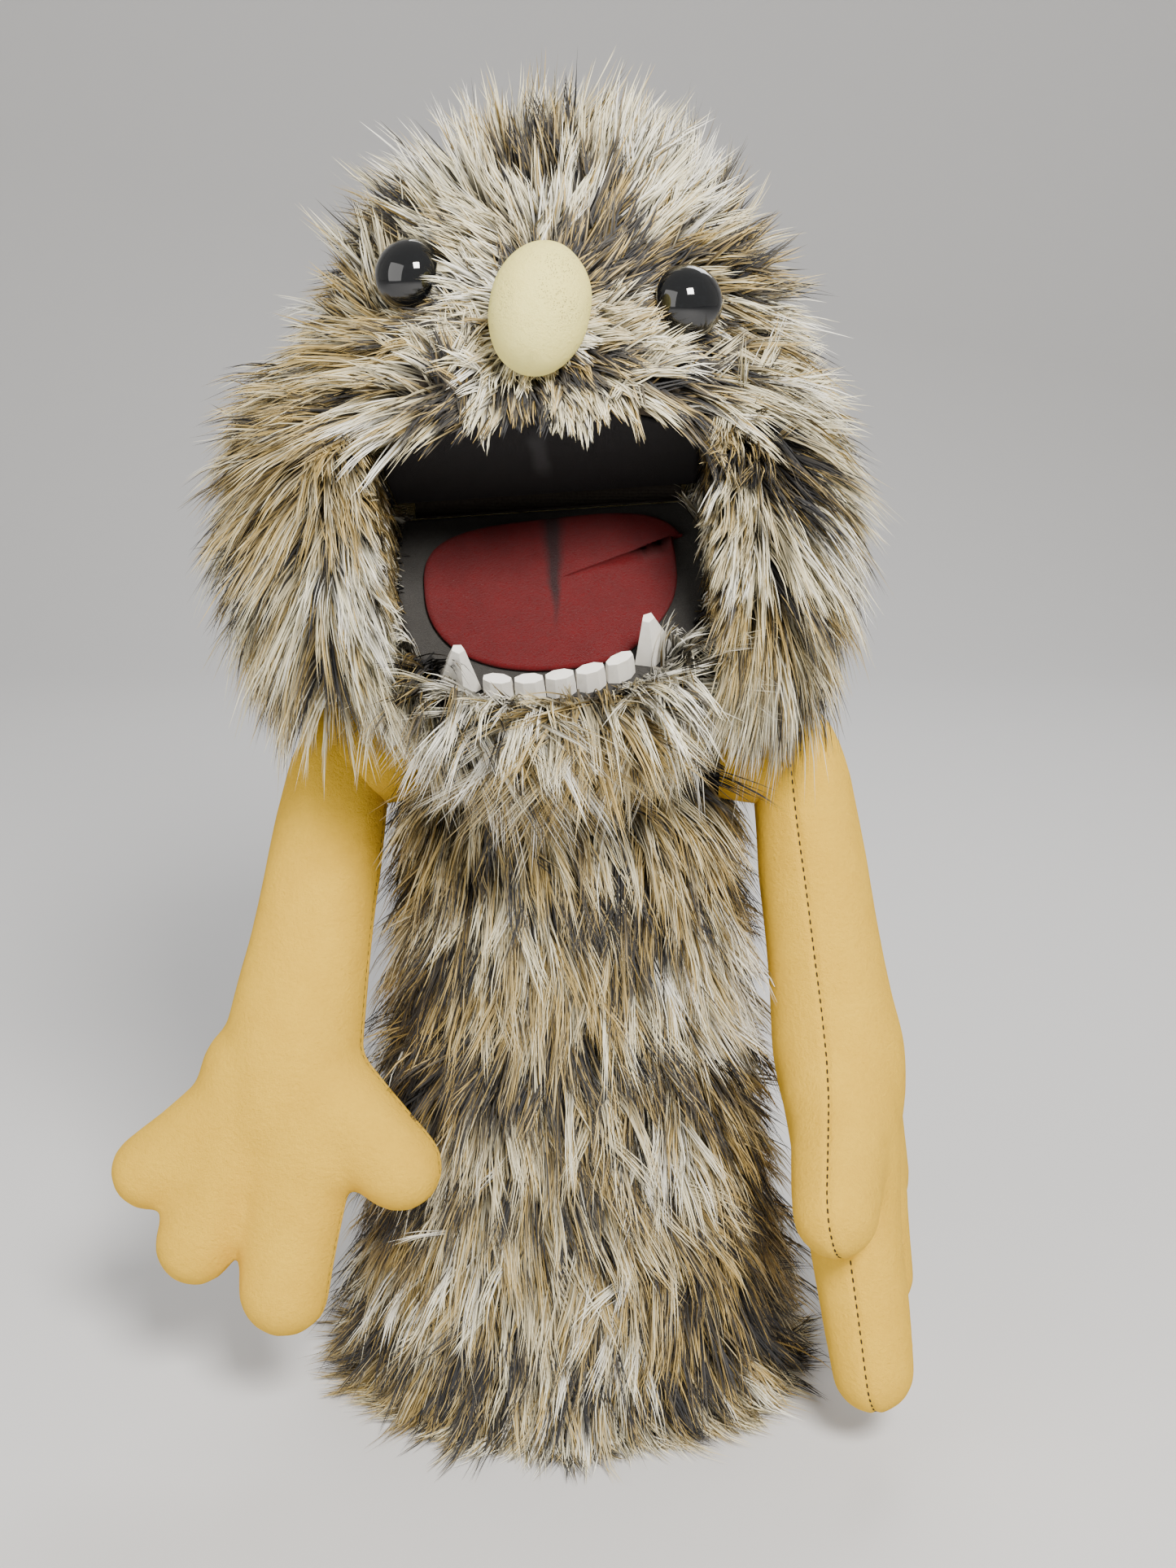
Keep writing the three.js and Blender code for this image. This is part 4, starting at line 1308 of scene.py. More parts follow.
@dataclass
class Sleeve:
    """The fur sleeve: skin, lining, hem and neck."""

    profile: tuple[tuple[float, float], ...] = (
        (79, 0), (76, 30), (67, 80), (57, 150), (52, 210), (50, 250), (50, 310),
    )
    oval: float = 0.86
    top: float = 272.0
    slope: float = 0.3
    skin: float = 1.5
    mottle: Mottle = Mottle(0.60, dark=0.55, pale=0.56, grain=1.25, stretch=(0.5, 0.5, 1.2), seed=33)
    bands: tuple[tuple[int, float, float], ...] = (
        (246, 9, 0.38), (230, 7, 0.06), (150, 6, 0.07), (96, 7, 0.06), (84, 7, 0.36), (44, 7, 0.07),
    )

    def tube(
        self, name: str, grow: float, low: float, below_top: float, rows: int = 60, wall: float = 1.0,
    ) -> Piece:
        """A closed tube that follows the sleeve.

        Args:
            name: The piece's name.
            grow: Its outside, measured from the sleeve's cloth.
            low: The height of its lower edge.
            below_top: How far it stops below the slanted top edge.
            rows: Rows of points.
            wall: Its thickness.

        Returns:
            The tube, in the library's metres.
        """
        line = spline(self.profile, 120)
        b = np.linspace(0, 2 * math.pi, 96, endpoint=False)
        t = np.linspace(0, 1, rows)[:, None]
        layers = []
        for extra in (grow, grow - wall):
            y0 = (50 + extra) * self.oval * np.sin(b)[None, :]
            z = low + (self.top + self.slope * y0 - below_top - low) * t
            r = np.interp(z, line[:, 1], line[:, 0]) + extra
            layers.append(np.stack([r * np.cos(b), r * self.oval * np.sin(b), z], axis=2))
        return double_wall(name, *layers, Layout().body(), uneven=0.8)

    def pile(self) -> Pile:
        """How the sleeve's pile grows, in the maker's frame: in tiers, each over the next.

        Returns:
            The pile.
        """
        def tier(p: Array) -> Array:
            wave = 16 * (value_noise(p * (1, 1, 0.3), 34, 62) - 0.5)
            return ((p[:, 2] + wave) / 19) % 1

        def flow(p: Array, n: Array) -> Array:
            a, b = value_noise(p, 24, 61) - 0.5, value_noise(p, 24, 64) - 0.5
            return np.array([0, 0, -1.0]) + np.stack([a, b, np.zeros(len(p))], axis=1) * 1.7

        def tint(p: Array, n: Array) -> Array:
            made = self.mottle(p)
            wave = 9 * np.sin(p[:, 0] / 17) + 12 * (value_noise(p, 25, 62) - 0.5)
            for height, width, shade in self.bands:
                stripe = abs(p[:, 2] + wave - height) < width
                made = np.where(stripe & (value_noise(p, 14, int(height)) > 0.36), shade, made)
            # Painted shade: the tint darkens towards the bottom of the sleeve.
            return made - 0.06 * np.clip((95 - p[:, 2]) / 30, 0, 1)

        def length(p: Array, n: Array) -> Array:
            return 33 + 7 * (1 - tier(p)) - 7 * np.clip((25 - p[:, 2]) / 25, 0, 1)

        return Pile(
            length=length, flow=flow,
            lift=lambda p, n: 0.36 + 0.36 * (1 - tier(p)),
            tint=tint,
            droop=lambda p, n: np.full(len(p), 0.6),
            dense=lambda p: 1.2 - 0.45 * (p[:, 1] > 15) + 0.8 * (p[:, 2] < 8),
        )


@dataclass
class Mouth:
    """The felt that lines the two plates, the tongue and the webs at the corners."""

    half: float = 56.0
    side: float = 30.0
    length: float = 95.0
    back: float = 6.0
    felt: float = 1.5
    gap: float = 0.3
    tongue: tuple[float, float, float, float] = (48.2, 29.0, 41.5, -41.0)
    tongue_turn: float = 3.0
    teeth_skew: float = 7.0
    teeth_row: float = 8.0
    teeth_span: float = 50.5
    fang_at: float = 34.8
    fang_room: tuple[float, float] = (3.4, 12.0)

    def plate_outline(self, inset: float = 0.0, count: int = 64) -> Array:
        """The outline of a plate: straight sides, then a squarish half oval.

        Args:
            inset: How far inside the plate's edge.
            count: Points along the oval.

        Returns:
            n by 2 points.
        """
        half = self.half - inset
        x = half * np.cos(np.linspace(math.pi, 2 * math.pi, count))
        oval = np.stack([x, -self.side - plate_reach(x, half, self.length - self.side - inset)], axis=1)
        side = np.linspace(-self.back, -self.side, 12)[:-1]
        right = np.stack([np.full(len(side), half), side[::-1]], axis=1)
        left = np.stack([np.full(len(side), -half), side], axis=1)
        rear = np.stack([np.linspace(half, -half, 26)[1:-1], np.full(24, -self.back)], axis=1)
        return np.concatenate([left, oval, right, rear])

    def tongue_outline(self) -> Array:
        """The outline of the tongue as n by 2 points, nearly straight at its back."""
        half, behind, ahead, middle = self.tongue
        a = np.linspace(0, 2 * math.pi, 120, endpoint=False)
        x, y = np.cos(a), np.sin(a)
        power = np.where(y > 0, 3.4, 2.25)
        size = (abs(x) ** power + abs(y) ** power) ** (-1 / power)
        made = np.stack([half * size * x, np.where(y > 0, behind, ahead) * size * y + middle], axis=1)
        return self._behind_teeth(made @ self._spin(self.tongue_turn).T)

    @staticmethod
    def _spin(degrees: float) -> Array:
        """A turn in the plate's plane."""
        turn = math.radians(degrees)
        return np.array([[math.cos(turn), -math.sin(turn)], [math.sin(turn), math.cos(turn)]])

    def _behind_teeth(self, outline: Array) -> Array:
        """Draws an outline back from the skewed row of teeth.

        Args:
            outline: n by 2 points.

        Returns:
            The points, with those among the teeth moved behind them.
        """
        pivot = np.array([0.0, -0.8 * self.length])
        q = (outline - pivot) @ self._spin(self.teeth_skew) + pivot
        row, broaden = self.teeth_row, self.teeth_span / (self.half - self.teeth_row)
        bump, spread = self.fang_room
        back = -self.side - plate_reach(q[:, 0] / broaden, self.half - row, self.length - self.side - row)
        back = back + bump * np.exp(-(((abs(q[:, 0]) - self.fang_at) / spread) ** 4))
        q[:, 1] = np.maximum(q[:, 1], back)
        return (q - pivot) @ self._spin(self.teeth_skew).T + pivot

    def sheet(
        self, name: str, outline: Array, low: float, high: float, place: Matrix, wave: float,
    ) -> Piece:
        """A flat felt piece.

        Args:
            name: Its name.
            outline: Its edge.
            low: The height of its underside.
            high: The height of its face.
            place: Its frame.
            wave: How uneven its face is.

        Returns:
            The piece.
        """
        centre = outline.mean(axis=0)
        rings = np.concatenate([np.linspace(0.02, 0.96, 22), [0.99, 1.0]])
        flat = centre + (outline - centre)[None] * rings[:, None, None]
        count = len(outline)
        top = np.concatenate([flat, np.full((*flat.shape[:2], 1), high)], axis=2)
        soft = (value_noise(top.reshape(-1, 3), 17, 5).reshape(top.shape[:2]) - 0.5) * wave
        top[:, :, 2] += soft
        top[-1, :, 2] = (low + high) / 2
        under = np.concatenate([flat, np.full((*flat.shape[:2], 1), low)], axis=2)
        verts = np.concatenate([top, under[::-1][1:]]).reshape(-1, 3)
        faces: list[tuple[int, ...]] = [f[::-1] for f in grid_faces(2 * len(rings) - 1, count, True)]
        faces.append(tuple(range(count)))
        faces.append(tuple(len(verts) - count + i for i in range(count))[::-1])
        made = mesh_object(name, placed(verts, place), faces)
        bottom, size = verts[:, :2].min(axis=0), np.ptp(verts[:, :2], axis=0)
        set_map(made.data, (verts[:, :2] - bottom) / size)
        return made

    @staticmethod
    def area(outline: Array) -> float:
        """The area of an outline in square metres."""
        x, y = outline[:, 0], outline[:, 1]
        return abs(float(np.dot(x, np.roll(y, -1)) - np.dot(y, np.roll(x, -1)))) / 2 * MM * MM

    def build(self, layout: Layout, looks: Looks) -> None:
        """Lays the felts and the tongue.

        Args:
            layout: The maker's frames.
            looks: Materials by slot.
        """
        plate, tongue = self.plate_outline(), self.tongue_outline()
        above = self.sheet("palate_lining", plate, 0.0, self.felt, layout.palate(), 0.0)
        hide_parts("palate_felt")
        dress(above, looks["black_felt"], "black_felt", "head")
        floor = self.sheet("mouth_floor", plate, -self.felt, 0.0, layout.jaw(), 0.15)
        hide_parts("mouth_floor_felt")
        dress(floor, looks["grey_felt"], "grey_felt", "jaw")
        lick = self.sheet("tongue_felt", tongue, self.gap, self.gap + 2.0, layout.jaw(), 0.5)
        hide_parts("tongue")
        dress(lick, looks["red_felt"], "red_felt", "jaw")
        for side, word in ((-1, "right"), (1, "left")):
            self._web(layout, side, word, looks["black_felt"])

    def _web(self, layout: Layout, side: int, word: str, look: Look) -> None:
        """The pleat between the plates at a corner of the mouth.

        Args:
            layout: The maker's frames.
            side: -1 or 1.
            word: right or left.
            look: Its material.
        """
        out = np.linspace(3, 62, 16)
        edge = np.stack([np.full(16, side * (self.half + 0.5)), -out, np.zeros(16)], axis=1)
        top, low = placed(edge, layout.palate()), placed(edge, layout.jaw())
        t = np.linspace(0, 1, 14)[:, None, None]
        rows = top[None] * (1 - t) + low[None] * t
        rows[:, :, 0] += side * 0.0045 * np.sin(t[:, :, 0] * math.pi)
        hinge = np.array(layout.body() @ Vector(layout.hinge))
        pull = np.sin(t * math.pi) * 0.42
        rows = rows * (1 - pull) + (hinge + (rows - hinge) * np.array([1.0, 0.45, 1.0])) * pull
        made = mesh_object(f"corner_web_{word}", rows.reshape(-1, 3), grid_faces(14, 16))
        solid = made.modifiers.new("thickness", "SOLIDIFY")
        solid.thickness = 0.0008
        dress(made, look, "black_felt", None)
        middle = Vector((0, -self.side, 0))
        start, end = tuple(layout.palate() @ middle), tuple(layout.jaw() @ middle)
        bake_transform(made)


@dataclass
class Linings:
    """The cloth inside: lining, hem, wrist cuff, straps on the plates and the hinge tape."""

    wall: float = 1.2
    gap: float = 0.3
    lining_cut: tuple[float, float] = (0.462, 0.265)
    hem: tuple[float, float] = (14.0, 2.5)
    cuff: tuple[float, float, float] = (38.0, 2.0, 240.0)
    ribs: int = 54
    strap: tuple[float, float, float, float] = (42.0, 28.0, -52.0, -22.0)
    loop: tuple[float, float, float, float] = (20.0, 24.0, -43.0, -27.0)
    strap_wall: float = 1.5
    foot: float = 4.1
    tape: tuple[float, float, float, float] = (3.9, 50.0, 1.0, 65.0)

    def build(self, layout: Layout, sleeve: Sleeve, looks: Looks) -> None:
        """Sews the cloth pieces.

        Args:
            layout: The maker's frames.
            sleeve: The sleeve they line.
            looks: Materials by slot.
        """
        height, wall = self.hem
        hem = replace(sleeve, top=height, slope=0.0).tube("hem_band", -self.gap, 0.0, 0.0, 10, wall=wall)
        lining = sleeve.tube("lining", -self.gap, height + self.gap, 3.0, wall=self.wall)
        cuff = self._cuff(layout, sleeve)
        turned = layout.jaw() @ Matrix.Translation((0, 0, -self.foot)) @ Matrix.Rotation(math.pi, 4, "Y")
        upright = layout.palate() @ Matrix.Translation((0, 0, self.foot))
        strap = self._arch("strap_over_plate", self.strap, upright)
        loop = self._arch("loop_for_thumb", self.loop, turned)
        radius, half, thick, start = self.tape
        a = np.radians(np.linspace(start - 180, start, 24))
        path = np.stack([np.zeros(24), radius * np.cos(a), radius * np.sin(a)], axis=1)
        tape = band("hinge_cloth", path, (1, 0, 0), half, thick, layout.mouth())
        for piece, node, body in (
            (hem, "sleeve_hem_band", "sleeve"), (lining, "sleeve_lining", "sleeve"),
            (cuff, "neck_cuff", "neck"), (strap, "finger_strap", "head"),
            (loop, "thumb_loop", "jaw"), (tape, "mouth_hinge_tape", "head"),
        ):
            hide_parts(node)
            dress(piece, looks["dark_knit"], "dark_knit", body)

    def _cuff(self, layout: Layout, sleeve: Sleeve) -> Piece:
        """The ribbed tube round the wrist.

        Args:
            layout: The maker's frames.
            sleeve: The sleeve, whose slanted top edge it meets.

        Returns:
            The cuff.
        """
        radius, wall, low = self.cuff
        columns, rows, ridge = self.ribs * 6, 18, 0.45
        b = np.linspace(0, 2 * math.pi, columns, endpoint=False)[None, :]
        t = np.linspace(0, 1, rows)[:, None]
        layers = []
        for outer in (radius - ridge, radius - wall + ridge):
            r = outer + ridge * np.cos(b * self.ribs)
            z = low + (sleeve.top - 1 + sleeve.slope * r * np.sin(b) - low) * t
            layers.append(np.stack([r * np.cos(b) + 0 * t, r * np.sin(b) + 0 * t, z], axis=2))
        return double_wall("wrist_cuff", *layers, layout.body())

    def _arch(self, name: str, size: tuple[float, float, float, float], place: Matrix) -> Piece:
        """A strap that arches over a plate.

        Args:
            name: Its name.
            size: Half width, height, front and back.
            place: The frame of its feet.

        Returns:
            The strap.
        """
        half, height, front, back = size
        bend = min(half, height) * 0.8 - self.strap_wall / 2
        side, top = half - self.strap_wall / 2, height + self.strap_wall / 2
        a = np.linspace(0, math.pi / 2, 14)
        foot = np.stack([np.full(8, side), np.linspace(0, top - bend, 8, endpoint=False)], axis=1)
        shoulder = np.stack([side - bend + bend * np.cos(a), top - bend + bend * np.sin(a)], axis=1)
        across = np.stack([np.linspace(side - bend, 0, 10)[1:], np.full(9, top)], axis=1)
        quarter = np.concatenate([foot, shoulder, across])
        line = np.concatenate([quarter, quarter[-2::-1] * (-1, 1)])
        middle = np.full(len(line), (front + back) / 2)
        path = np.stack([line[:, 0], middle, line[:, 1]], axis=1)
        return band(name, path, (0, 1, 0), (back - front) / 2, self.strap_wall, place)


Fingers = tuple[tuple[tuple[float, float], tuple[float, float], float, float], ...]
RIGHT_HAND: Fingers = (
    ((-12, 128), (-16, 154), 23, 20), ((10, 128), (14, 154), 24, 22), ((-14, 142), (-49, 173), 21, 15),
    ((-14, 150), (-25, 197), 20, 16), ((11, 150), (13, 208), 21, 18), ((12, 128), (50, 153), 22, 17.5),
)
LEFT_HAND: Fingers = (
    ((-12, 132), (-16, 160), 23, 20), ((10, 132), (16, 164), 24, 22), ((-14, 146), (-44, 180), 21, 15),
    ((-12, 156), (-15, 212), 20, 16), ((14, 158), (20, 238), 21, 17.5), ((12, 136), (50, 168), 22, 17.5),
)


@dataclass
class Arm:
    """A stuffed fleece arm with four fingers, sewn round its edge."""

    word: str
    side: int
    forward: float
    outward: float
    turn: float
    fingers: Fingers
    profile: tuple[tuple[float, float], ...] = (
        (8, -14), (16, -7), (20, 6), (22, 22), (23, 40),
        (24, 72), (26, 98), (27.5, 118), (24, 140), (14, 150),
    )
    stitch: float = 0.0021
    pitch: float = 0.0034
    flatten: float = 0.95
    voxel: float = 2.4
    seed: int = 3

    def _balls(self) -> list[tuple[Array, float]]:
        """Middles and radii, in the arm's frame, of balls whose union is the stuffed arm."""
        made = [(np.array([0.0, 0.0, -s]), r) for r, s in spline(self.profile, 40)]
        for base, tip, r0, r1 in self.fingers:
            for t in np.linspace(0, 1, 12):
                x, s = (base[k] * (1 - t) + tip[k] * t for k in (0, 1))
                made.append((np.array([x, 0.0, -s]), r0 * (1 - t) + r1 * t))
        return made

    def _stuffed(self, place: Matrix) -> Piece:
        """The joined and smoothed form, in metres, for the arm's frame."""
        bm = bmesh.new()
        for middle, radius in self._balls():
            spot = Matrix.Translation(middle) @ Matrix.Diagonal((1, self.flatten, 1, 1))
            bmesh.ops.create_uvsphere(bm, u_segments=24, v_segments=14, radius=radius, matrix=spot)
        mesh = bpy.data.meshes.new("form")
        bm.to_mesh(mesh)
        bm.free()
        raw = in_scene("form", mesh)
        remesh = raw.modifiers.new("join", "REMESH")
        remesh.mode = "VOXEL"
        remesh.voxel_size = self.voxel
        soften = raw.modifiers.new("soften", "SMOOTH")
        soften.factor, soften.iterations = 0.5, 14
        finer = raw.modifiers.new("finer", "SUBSURF")
        finer.levels = 1
        done = bpy.data.meshes.new_from_object(raw.evaluated_get(bpy.context.evaluated_depsgraph_get()))
        bpy.data.objects.remove(raw)
        co, normal = (read(done.vertices, what, 3) for what in ("co", "normal"))
        groove = np.exp(-((co[:, 1] / 1.1) ** 2)) * 0.9
        swell = np.exp(-((co[:, 1] / 5.0) ** 2)) * 0.35
        lumps = (value_noise(co, 24, self.seed) - 0.5) * 1.2
        co = co + normal * (swell - groove + lumps)[:, None]
        done.vertices.foreach_set("co", placed(co, place).ravel())
        done.polygons.foreach_set("use_smooth", np.ones(len(done.polygons), bool))
        done.update()
        return in_scene(f"arm_{self.word}", done)

    def _seam(self, arm: Piece, place: Matrix) -> list[Array]:
        """The line of the seam, where the panels meet.

        Args:
            arm: The stuffed arm.
            place: The arm's frame.

        Returns:
            Closed lines of points in metres.
        """
        bm = bmesh.new()
        bm.from_mesh(arm.data)
        normal = (place.to_3x3() @ Vector((0, 1, 0))).normalized()
        cut = bmesh.ops.bisect_plane(bm, geom=bm.verts[:] + bm.edges[:] + bm.faces[:],
                                     plane_co=place.translation, plane_no=normal)["geom_cut"]
        edges = {e for e in cut if isinstance(e, bmesh.types.BMEdge)}
        lines = []
        while edges:
            edge = edges.pop()
            line, end = [edge.verts[0], edge.verts[1]], edge.verts[1]
            while True:
                onward = next((e for e in end.link_edges if e in edges), None)
                if onward is None:
                    break
                edges.discard(onward)
                end = onward.other_vert(end)
                line.append(end)
            if len(line) > 40:
                lines.append(np.array([tuple(v.co) for v in line]))
        bm.free()
        return lines

    def _stitches(self, lines: Sequence[Array], name: str) -> Piece:
        """Short thread stitches along a seam.

        Args:
            lines: The seam's lines.
            name: The piece's name.

        Returns:
            The stitches.
        """
        verts, faces = [], []
        for line in lines:
            steps = np.linalg.norm(np.diff(line, axis=0), axis=1)
            at = np.concatenate([[0], np.cumsum(steps)])
            for start in np.arange(0.001, at[-1] - 0.003, self.pitch):
                spans = (start, start + self.stitch)
                ends = [np.array([np.interp(s, at, line[:, k]) for k in range(3)]) for s in spans]
                along = (ends[1] - ends[0]) / np.linalg.norm(ends[1] - ends[0])
                side = np.cross(along, np.array([0.3, 0.5, 0.8]))
                side /= np.linalg.norm(side)
                up = np.cross(side, along)
                base = len(verts)
                for k, (s, r) in enumerate(((0, 0.1), (0.2, 0.42), (0.8, 0.42), (1, 0.1))):
                    spot = ends[0] * (1 - s) + ends[1] * s
                    ring = np.arange(6) * math.pi / 3
                    verts += [spot + (side * math.cos(a) + up * math.sin(a)) * r * MM for a in ring]
                faces += [tuple(base + v for v in f) for f in grid_faces(4, 6, True)]
        return mesh_object(name, np.array(verts), faces)

    def build(self, layout: Layout, looks: Looks) -> None:
        """Builds the arm, its stitches and the gather at its shoulder.

        Args:
            layout: The maker's frames.
            looks: Materials by slot.
        """
        place = layout.arm(self.side, self.forward, self.outward, self.turn)
        arm = self._stuffed(place)
        body = f"arm_{self.word}"
        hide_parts(*(f"{body}_{part}" for part in ("front_fleece", "back_fleece", "stuffing")))
        stitches = self._stitches(self._seam(arm, place), f"{body}_stitches")
        dress(arm, looks["tan_fleece"], "tan_fleece", body)
        dress(stitches, looks["thread"], "dark_knit", body)
        self._gather(layout, looks["tan_fleece"])

    def _gather(self, layout: Layout, look: Look) -> None:
        """The gathered top of the arm, sewn to the sleeve.

        Args:
            layout: The maker's frames.
            look: Its material.
        """
        rows, columns = 14, 40
        t = np.linspace(0, 1, rows)[:, None]
        b = np.linspace(0, 2 * math.pi, columns, endpoint=False)[None, :]
        radius = 15.0 + 3.0 * np.sin(t * math.pi * 0.8)
        radius = radius * (1 + 0.03 * np.cos(b * 9) * (1 - t))
        radius = np.where(t > 0.93, radius * 0.55, radius)
        x = self.side * (58 - layout.shoulder[0] + t * 36)
        x = np.broadcast_to(x, (rows, columns))
        verts = np.stack([x, radius * np.cos(b), radius * np.sin(b)], axis=2)
        faces: list[tuple[int, ...]] = list(grid_faces(rows, columns, True))
        faces.append(tuple((rows - 1) * columns + i for i in range(columns)))
        sx, sy, sz = layout.shoulder
        place = layout.body() @ Matrix.Translation((self.side * sx, sy, sz))
        made = mesh_object(f"shoulder_gather_{self.word}", placed(verts.reshape(-1, 3), place), faces)
        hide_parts(f"shoulder_button_{self.word}", f"shoulder_cup_{self.word}")
        dress(made, look, "tan_fleece", f"shoulder_{self.word}")


@dataclass
class Studio:
    """The floor, the lights and the camera."""

    lens: float = 46.7
    eye: tuple[float, float, float] = (7.0, -770.0, 485.0)
    pitch: float = 17.0

    def build(self, layout: Layout) -> None:
        """Sets the scene.

        Args:
            layout: The maker's frames.
        """
        camera = bpy.data.cameras.new("camera")
        camera.lens = self.lens
        camera.sensor_width = 36.0
        camera.clip_start = 0.01
        stand = in_scene("camera", camera)
        stand.location = layout.body() @ Vector(self.eye)
        stand.rotation_euler = (math.radians(90 - self.pitch), 0, 0)
        bpy.context.scene.camera = stand
        self._floor()
        self._light("key", (0.40, -1.15, 1.30), (0.45, 0.45), 52.0, (1.0, 0.96, 0.90))
        self._light("fill", (-1.1, -0.9, 0.75), (1.2, 1.2), 11.0, (1.0, 0.98, 0.95))
        self._light("rim", (0.3, 1.0, 1.2), (0.9, 0.6), 12.0, (1.0, 1.0, 1.0))
        world = bpy.data.worlds.new("studio")
        world.use_nodes = True
        world.node_tree.nodes["Background"].inputs[0].default_value = (0.88, 0.86, 0.81, 1)
        world.node_tree.nodes["Background"].inputs[1].default_value = 0.42
        bpy.context.scene.world = world

    def _floor(self) -> None:
        """Lays a pale floor that curves up behind."""
        line = [(-2.5, 0.0), (1.2, 0.0)] + [
            (1.2 + 0.8 * math.sin(a), 0.8 - 0.8 * math.cos(a)) for a in np.linspace(0.1, math.pi / 2, 14)
        ] + [(2.0, 3.0)]
        verts = np.array([(x, y, z - 0.0006) for y, z in line for x in (-4.0, 4.0)])
        floor = mesh_object("floor", verts, grid_faces(len(line), 2))
        s = Shader("floor")
        grain = s.noise(30, 2)
        look = s.finish(Base_Color=s.mix(grain * 0.2, (0.62, 0.62, 0.63), (0.56, 0.57, 0.59)), Roughness=0.9)
        floor.data.materials.append(look)

    @staticmethod
    def _light(name: str, at: Colour, size: tuple[float, float], power: float, colour: Colour) -> None:
        """Hangs a soft rectangular light aimed at the puppet.

        Args:
            name: Its name.
            at: Its place, in metres.
            size: Its sides.
            power: Its power in watts.
            colour: Its colour.
        """
        lamp = bpy.data.lights.new(name, "AREA")
        lamp.shape = "RECTANGLE"
        lamp.size, lamp.size_y = size
        lamp.energy = power
        lamp.color = colour
        made = in_scene(name, lamp)
        made.location = at
        made.rotation_euler = (Vector((0, 0, 0.28)) - Vector(at)).to_track_quat("-Z", "Y").to_euler()


FINISHES = (
    FurFinish(), Backing(), CutFoam(), DomeGloss(),
    Fleece("tan_fleece", (1.0, 0.620, 0.050), (0.80, 0.45, 0.030), 0.0007),
    Fleece("nose_fleece", (1.0, 0.92, 0.33), (0.94, 0.80, 0.23), 0.0004, 0.8),
    Felt("red_felt", (0.165, 0.004, 0.007), (0.100, 0.003, 0.005), mark=Mark.STREAK),
    Felt("black_felt", (0.008, 0.006, 0.008), (0.003, 0.003, 0.004), mark=Mark.CREASE_HIGHLIGHT),
    Felt("grey_felt", (0.060, 0.056, 0.052), (0.030, 0.028, 0.026)),
    Woven("dark_knit", (0.050, 0.042, 0.035), (0.022, 0.018, 0.015)),
    Woven("thread", (0.045, 0.030, 0.018), (0.020, 0.014, 0.010), 3000, 0.0001),
    Woven("foam", (0.62, 0.55, 0.34), (0.45, 0.38, 0.20), 1600, 0.0008),
    Woven("stuffing", (0.85, 0.84, 0.80), (0.70, 0.69, 0.66), 500, 0.001),
    Woven("board", (0.16, 0.13, 0.10), (0.11, 0.09, 0.07), 700, 0.0002, 0.85),
    Woven("white_plastic", (0.78, 0.77, 0.73), (0.72, 0.71, 0.67), 300, 0.00002, 0.4),
)


def carried_over(looks: Looks) -> None:
    """Gives every node of the frame its slot's material, and softens hard edges.

    Args:
        looks: Materials by slot.
    """
    for part in frame["record"]["subparts"]:
        node = frame["nodes"][part["node"]]
        look = looks[part["material_slot"]]
        for slot in node.material_slots:
            slot.material = look
        if part["material_slot"] in ("tooth_white", "board"):
            edge = node.modifiers.new("edge", "BEVEL")
            edge.width, edge.segments, edge.limit_method = 0.00035, 2, "ANGLE"


@dataclass(frozen=True)
class Zone:
    """A fur coat's body, and the nodes its pieces stand for."""

    body: str
    nodes: tuple[tuple[str, ...], ...]
    fronts: int
    seam: float = 0.0

    def sectors(self, p: Array) -> Array:
        """Numbers the pieces: the front's sectors from right to left, then the back's.

        Args:
            p: n by 3 points in the maker's frame.

        Returns:
            n numbers.
        """
        behind = p[:, 1] > self.seam
        angle = np.arctan2(np.where(behind, p[:, 1], -p[:, 1]) + 30, -p[:, 0]) / math.pi
        count = np.where(behind, len(self.nodes) - self.fronts, self.fronts)
        return np.clip(angle * count, 0, count - 1).astype(int) + np.where(behind, self.fronts, 0)


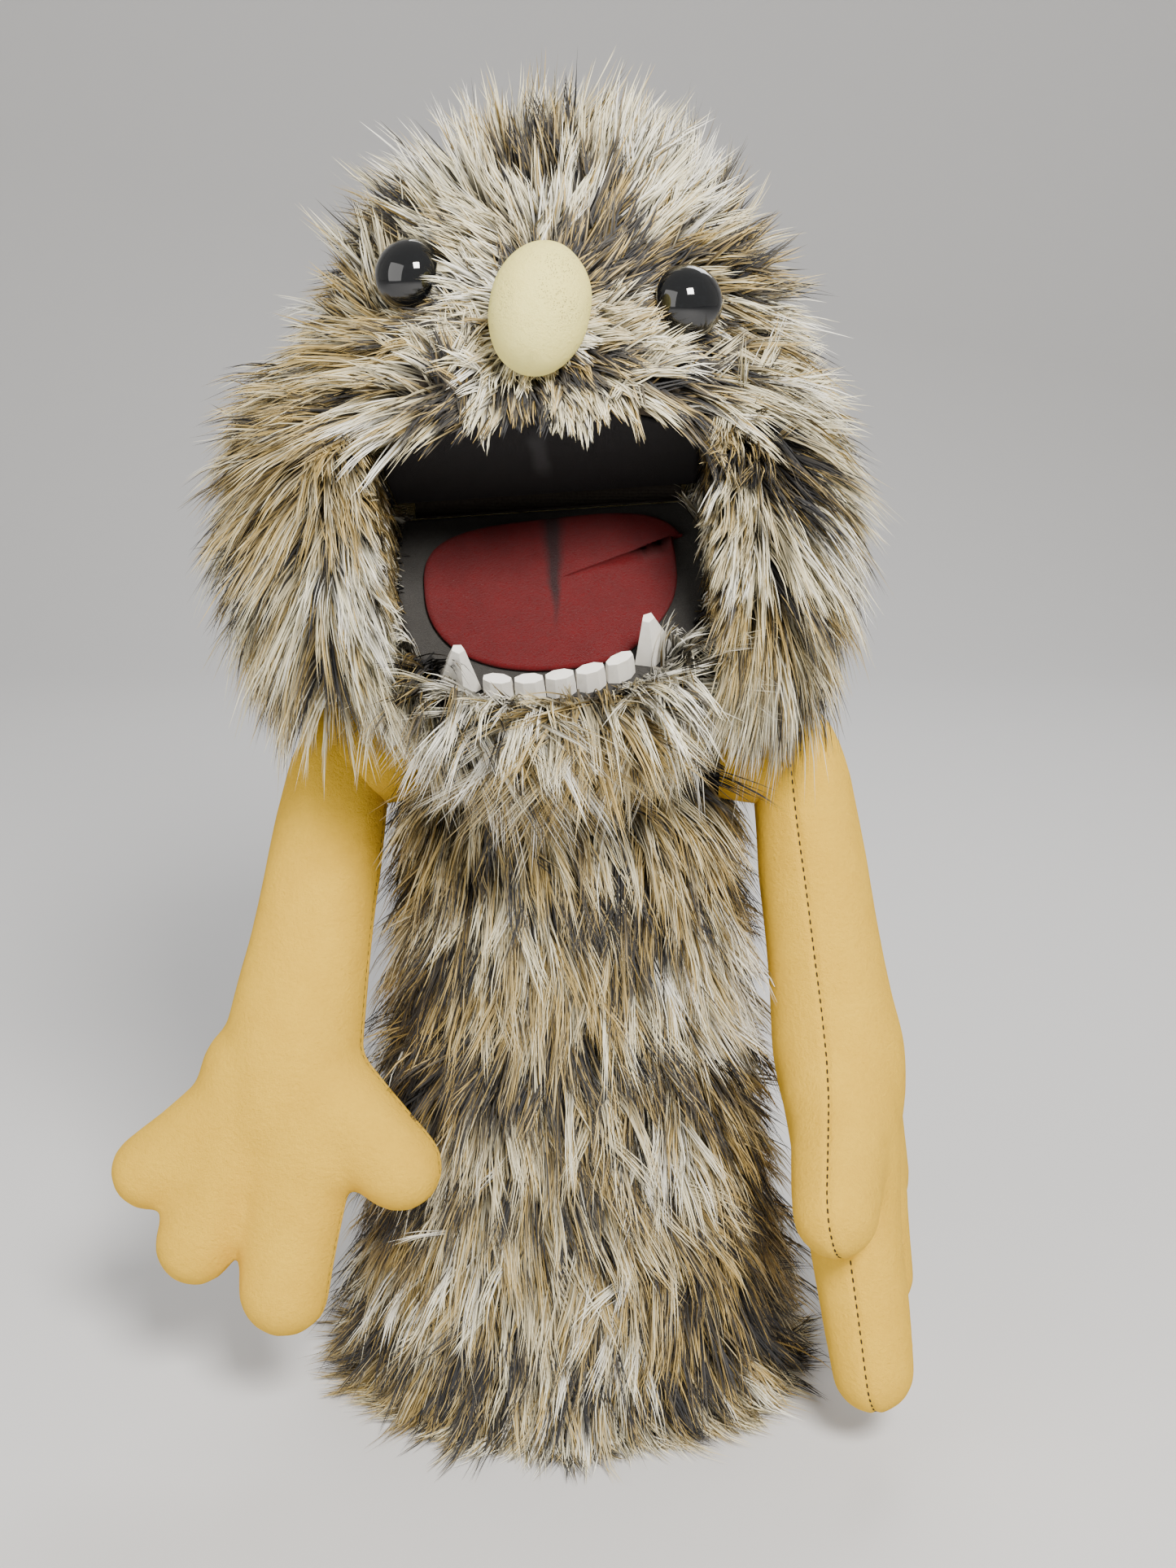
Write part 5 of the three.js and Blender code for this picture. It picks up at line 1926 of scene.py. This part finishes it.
HEAD_ZONE = Zone("head", (("head_face_fur",),) * 4 + (("head_back_fur",),) * 2, 4, 12.0)
JAW_ZONE = Zone("jaw", (("jaw_beard_fur",),), 1, 999.0)
SLEEVE_ZONE = Zone("sleeve", (("sleeve_front_fur",),) * 3 + (("sleeve_back_fur",),) * 2, 3)


def grow(layout: Layout, looks: Looks, skin: Piece, coat: FurCoat, zone: Zone) -> None:
    """Grows a coat on its skin and dresses both.

    Args:
        layout: The maker's frames.
        looks: Materials by slot.
        skin: The skin.
        coat: The coat.
        zone: Where its pieces belong.
    """
    for piece, nodes in zip(coat.build(skin, layout.body(), zone.sectors), zone.nodes):
        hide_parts(*nodes)
        dress(piece, looks["fur_pile"], "fur_pile", zone.body)
    dress(skin, looks["fur_backing"], "fur_pile", zone.body)


def main() -> None:
    """Builds the puppet, piece by piece."""
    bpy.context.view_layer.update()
    layout = Layout()
    looks = {finish.name: finish.material() for finish in FINISHES}
    carried_over(looks)
    eyes = [Eye(-1, "right"), Eye(1, "left", azimuth=36.0)]
    for eye in eyes:
        eye.build(layout, looks["eye_black"])
    Nose().build(layout, looks["nose_fleece"])
    head, jaw, sleeve = Head(), Jaw(), Sleeve()
    centres = [layout.body().inverted() @ eye.frame(layout).translation for eye in eyes]
    hair = FurCoat("head_fur", head.pile(layout, centres), seed=4, curl=1.15)
    grow(layout, looks, head.skin_mesh(layout), hair, HEAD_ZONE)
    beard = FurCoat("beard", jaw.pile(layout), locks_per_cm2=8.5, seed=5, curl=1.8)
    grow(layout, looks, jaw.skin_mesh(layout), beard, JAW_ZONE)
    coat = FurCoat("sleeve_fur", sleeve.pile(), seed=6, curl=2.4, gather=0.86, lock_radius=3.8)
    grow(layout, looks, sleeve.tube("sleeve_skin", sleeve.skin, 0.6, 0.0), coat, SLEEVE_ZONE)
    Linings().build(layout, sleeve, looks)
    Mouth().build(layout, looks)
    Arm("right", -1, 19, 9.5, -8, RIGHT_HAND, seed=3).build(layout, looks)
    Arm("left", 1, 15, 8, -106, LEFT_HAND, seed=8).build(layout, looks)
    Studio().build(layout)


if __name__ == "__main__":
    logging.basicConfig(level=logging.INFO)
    main()
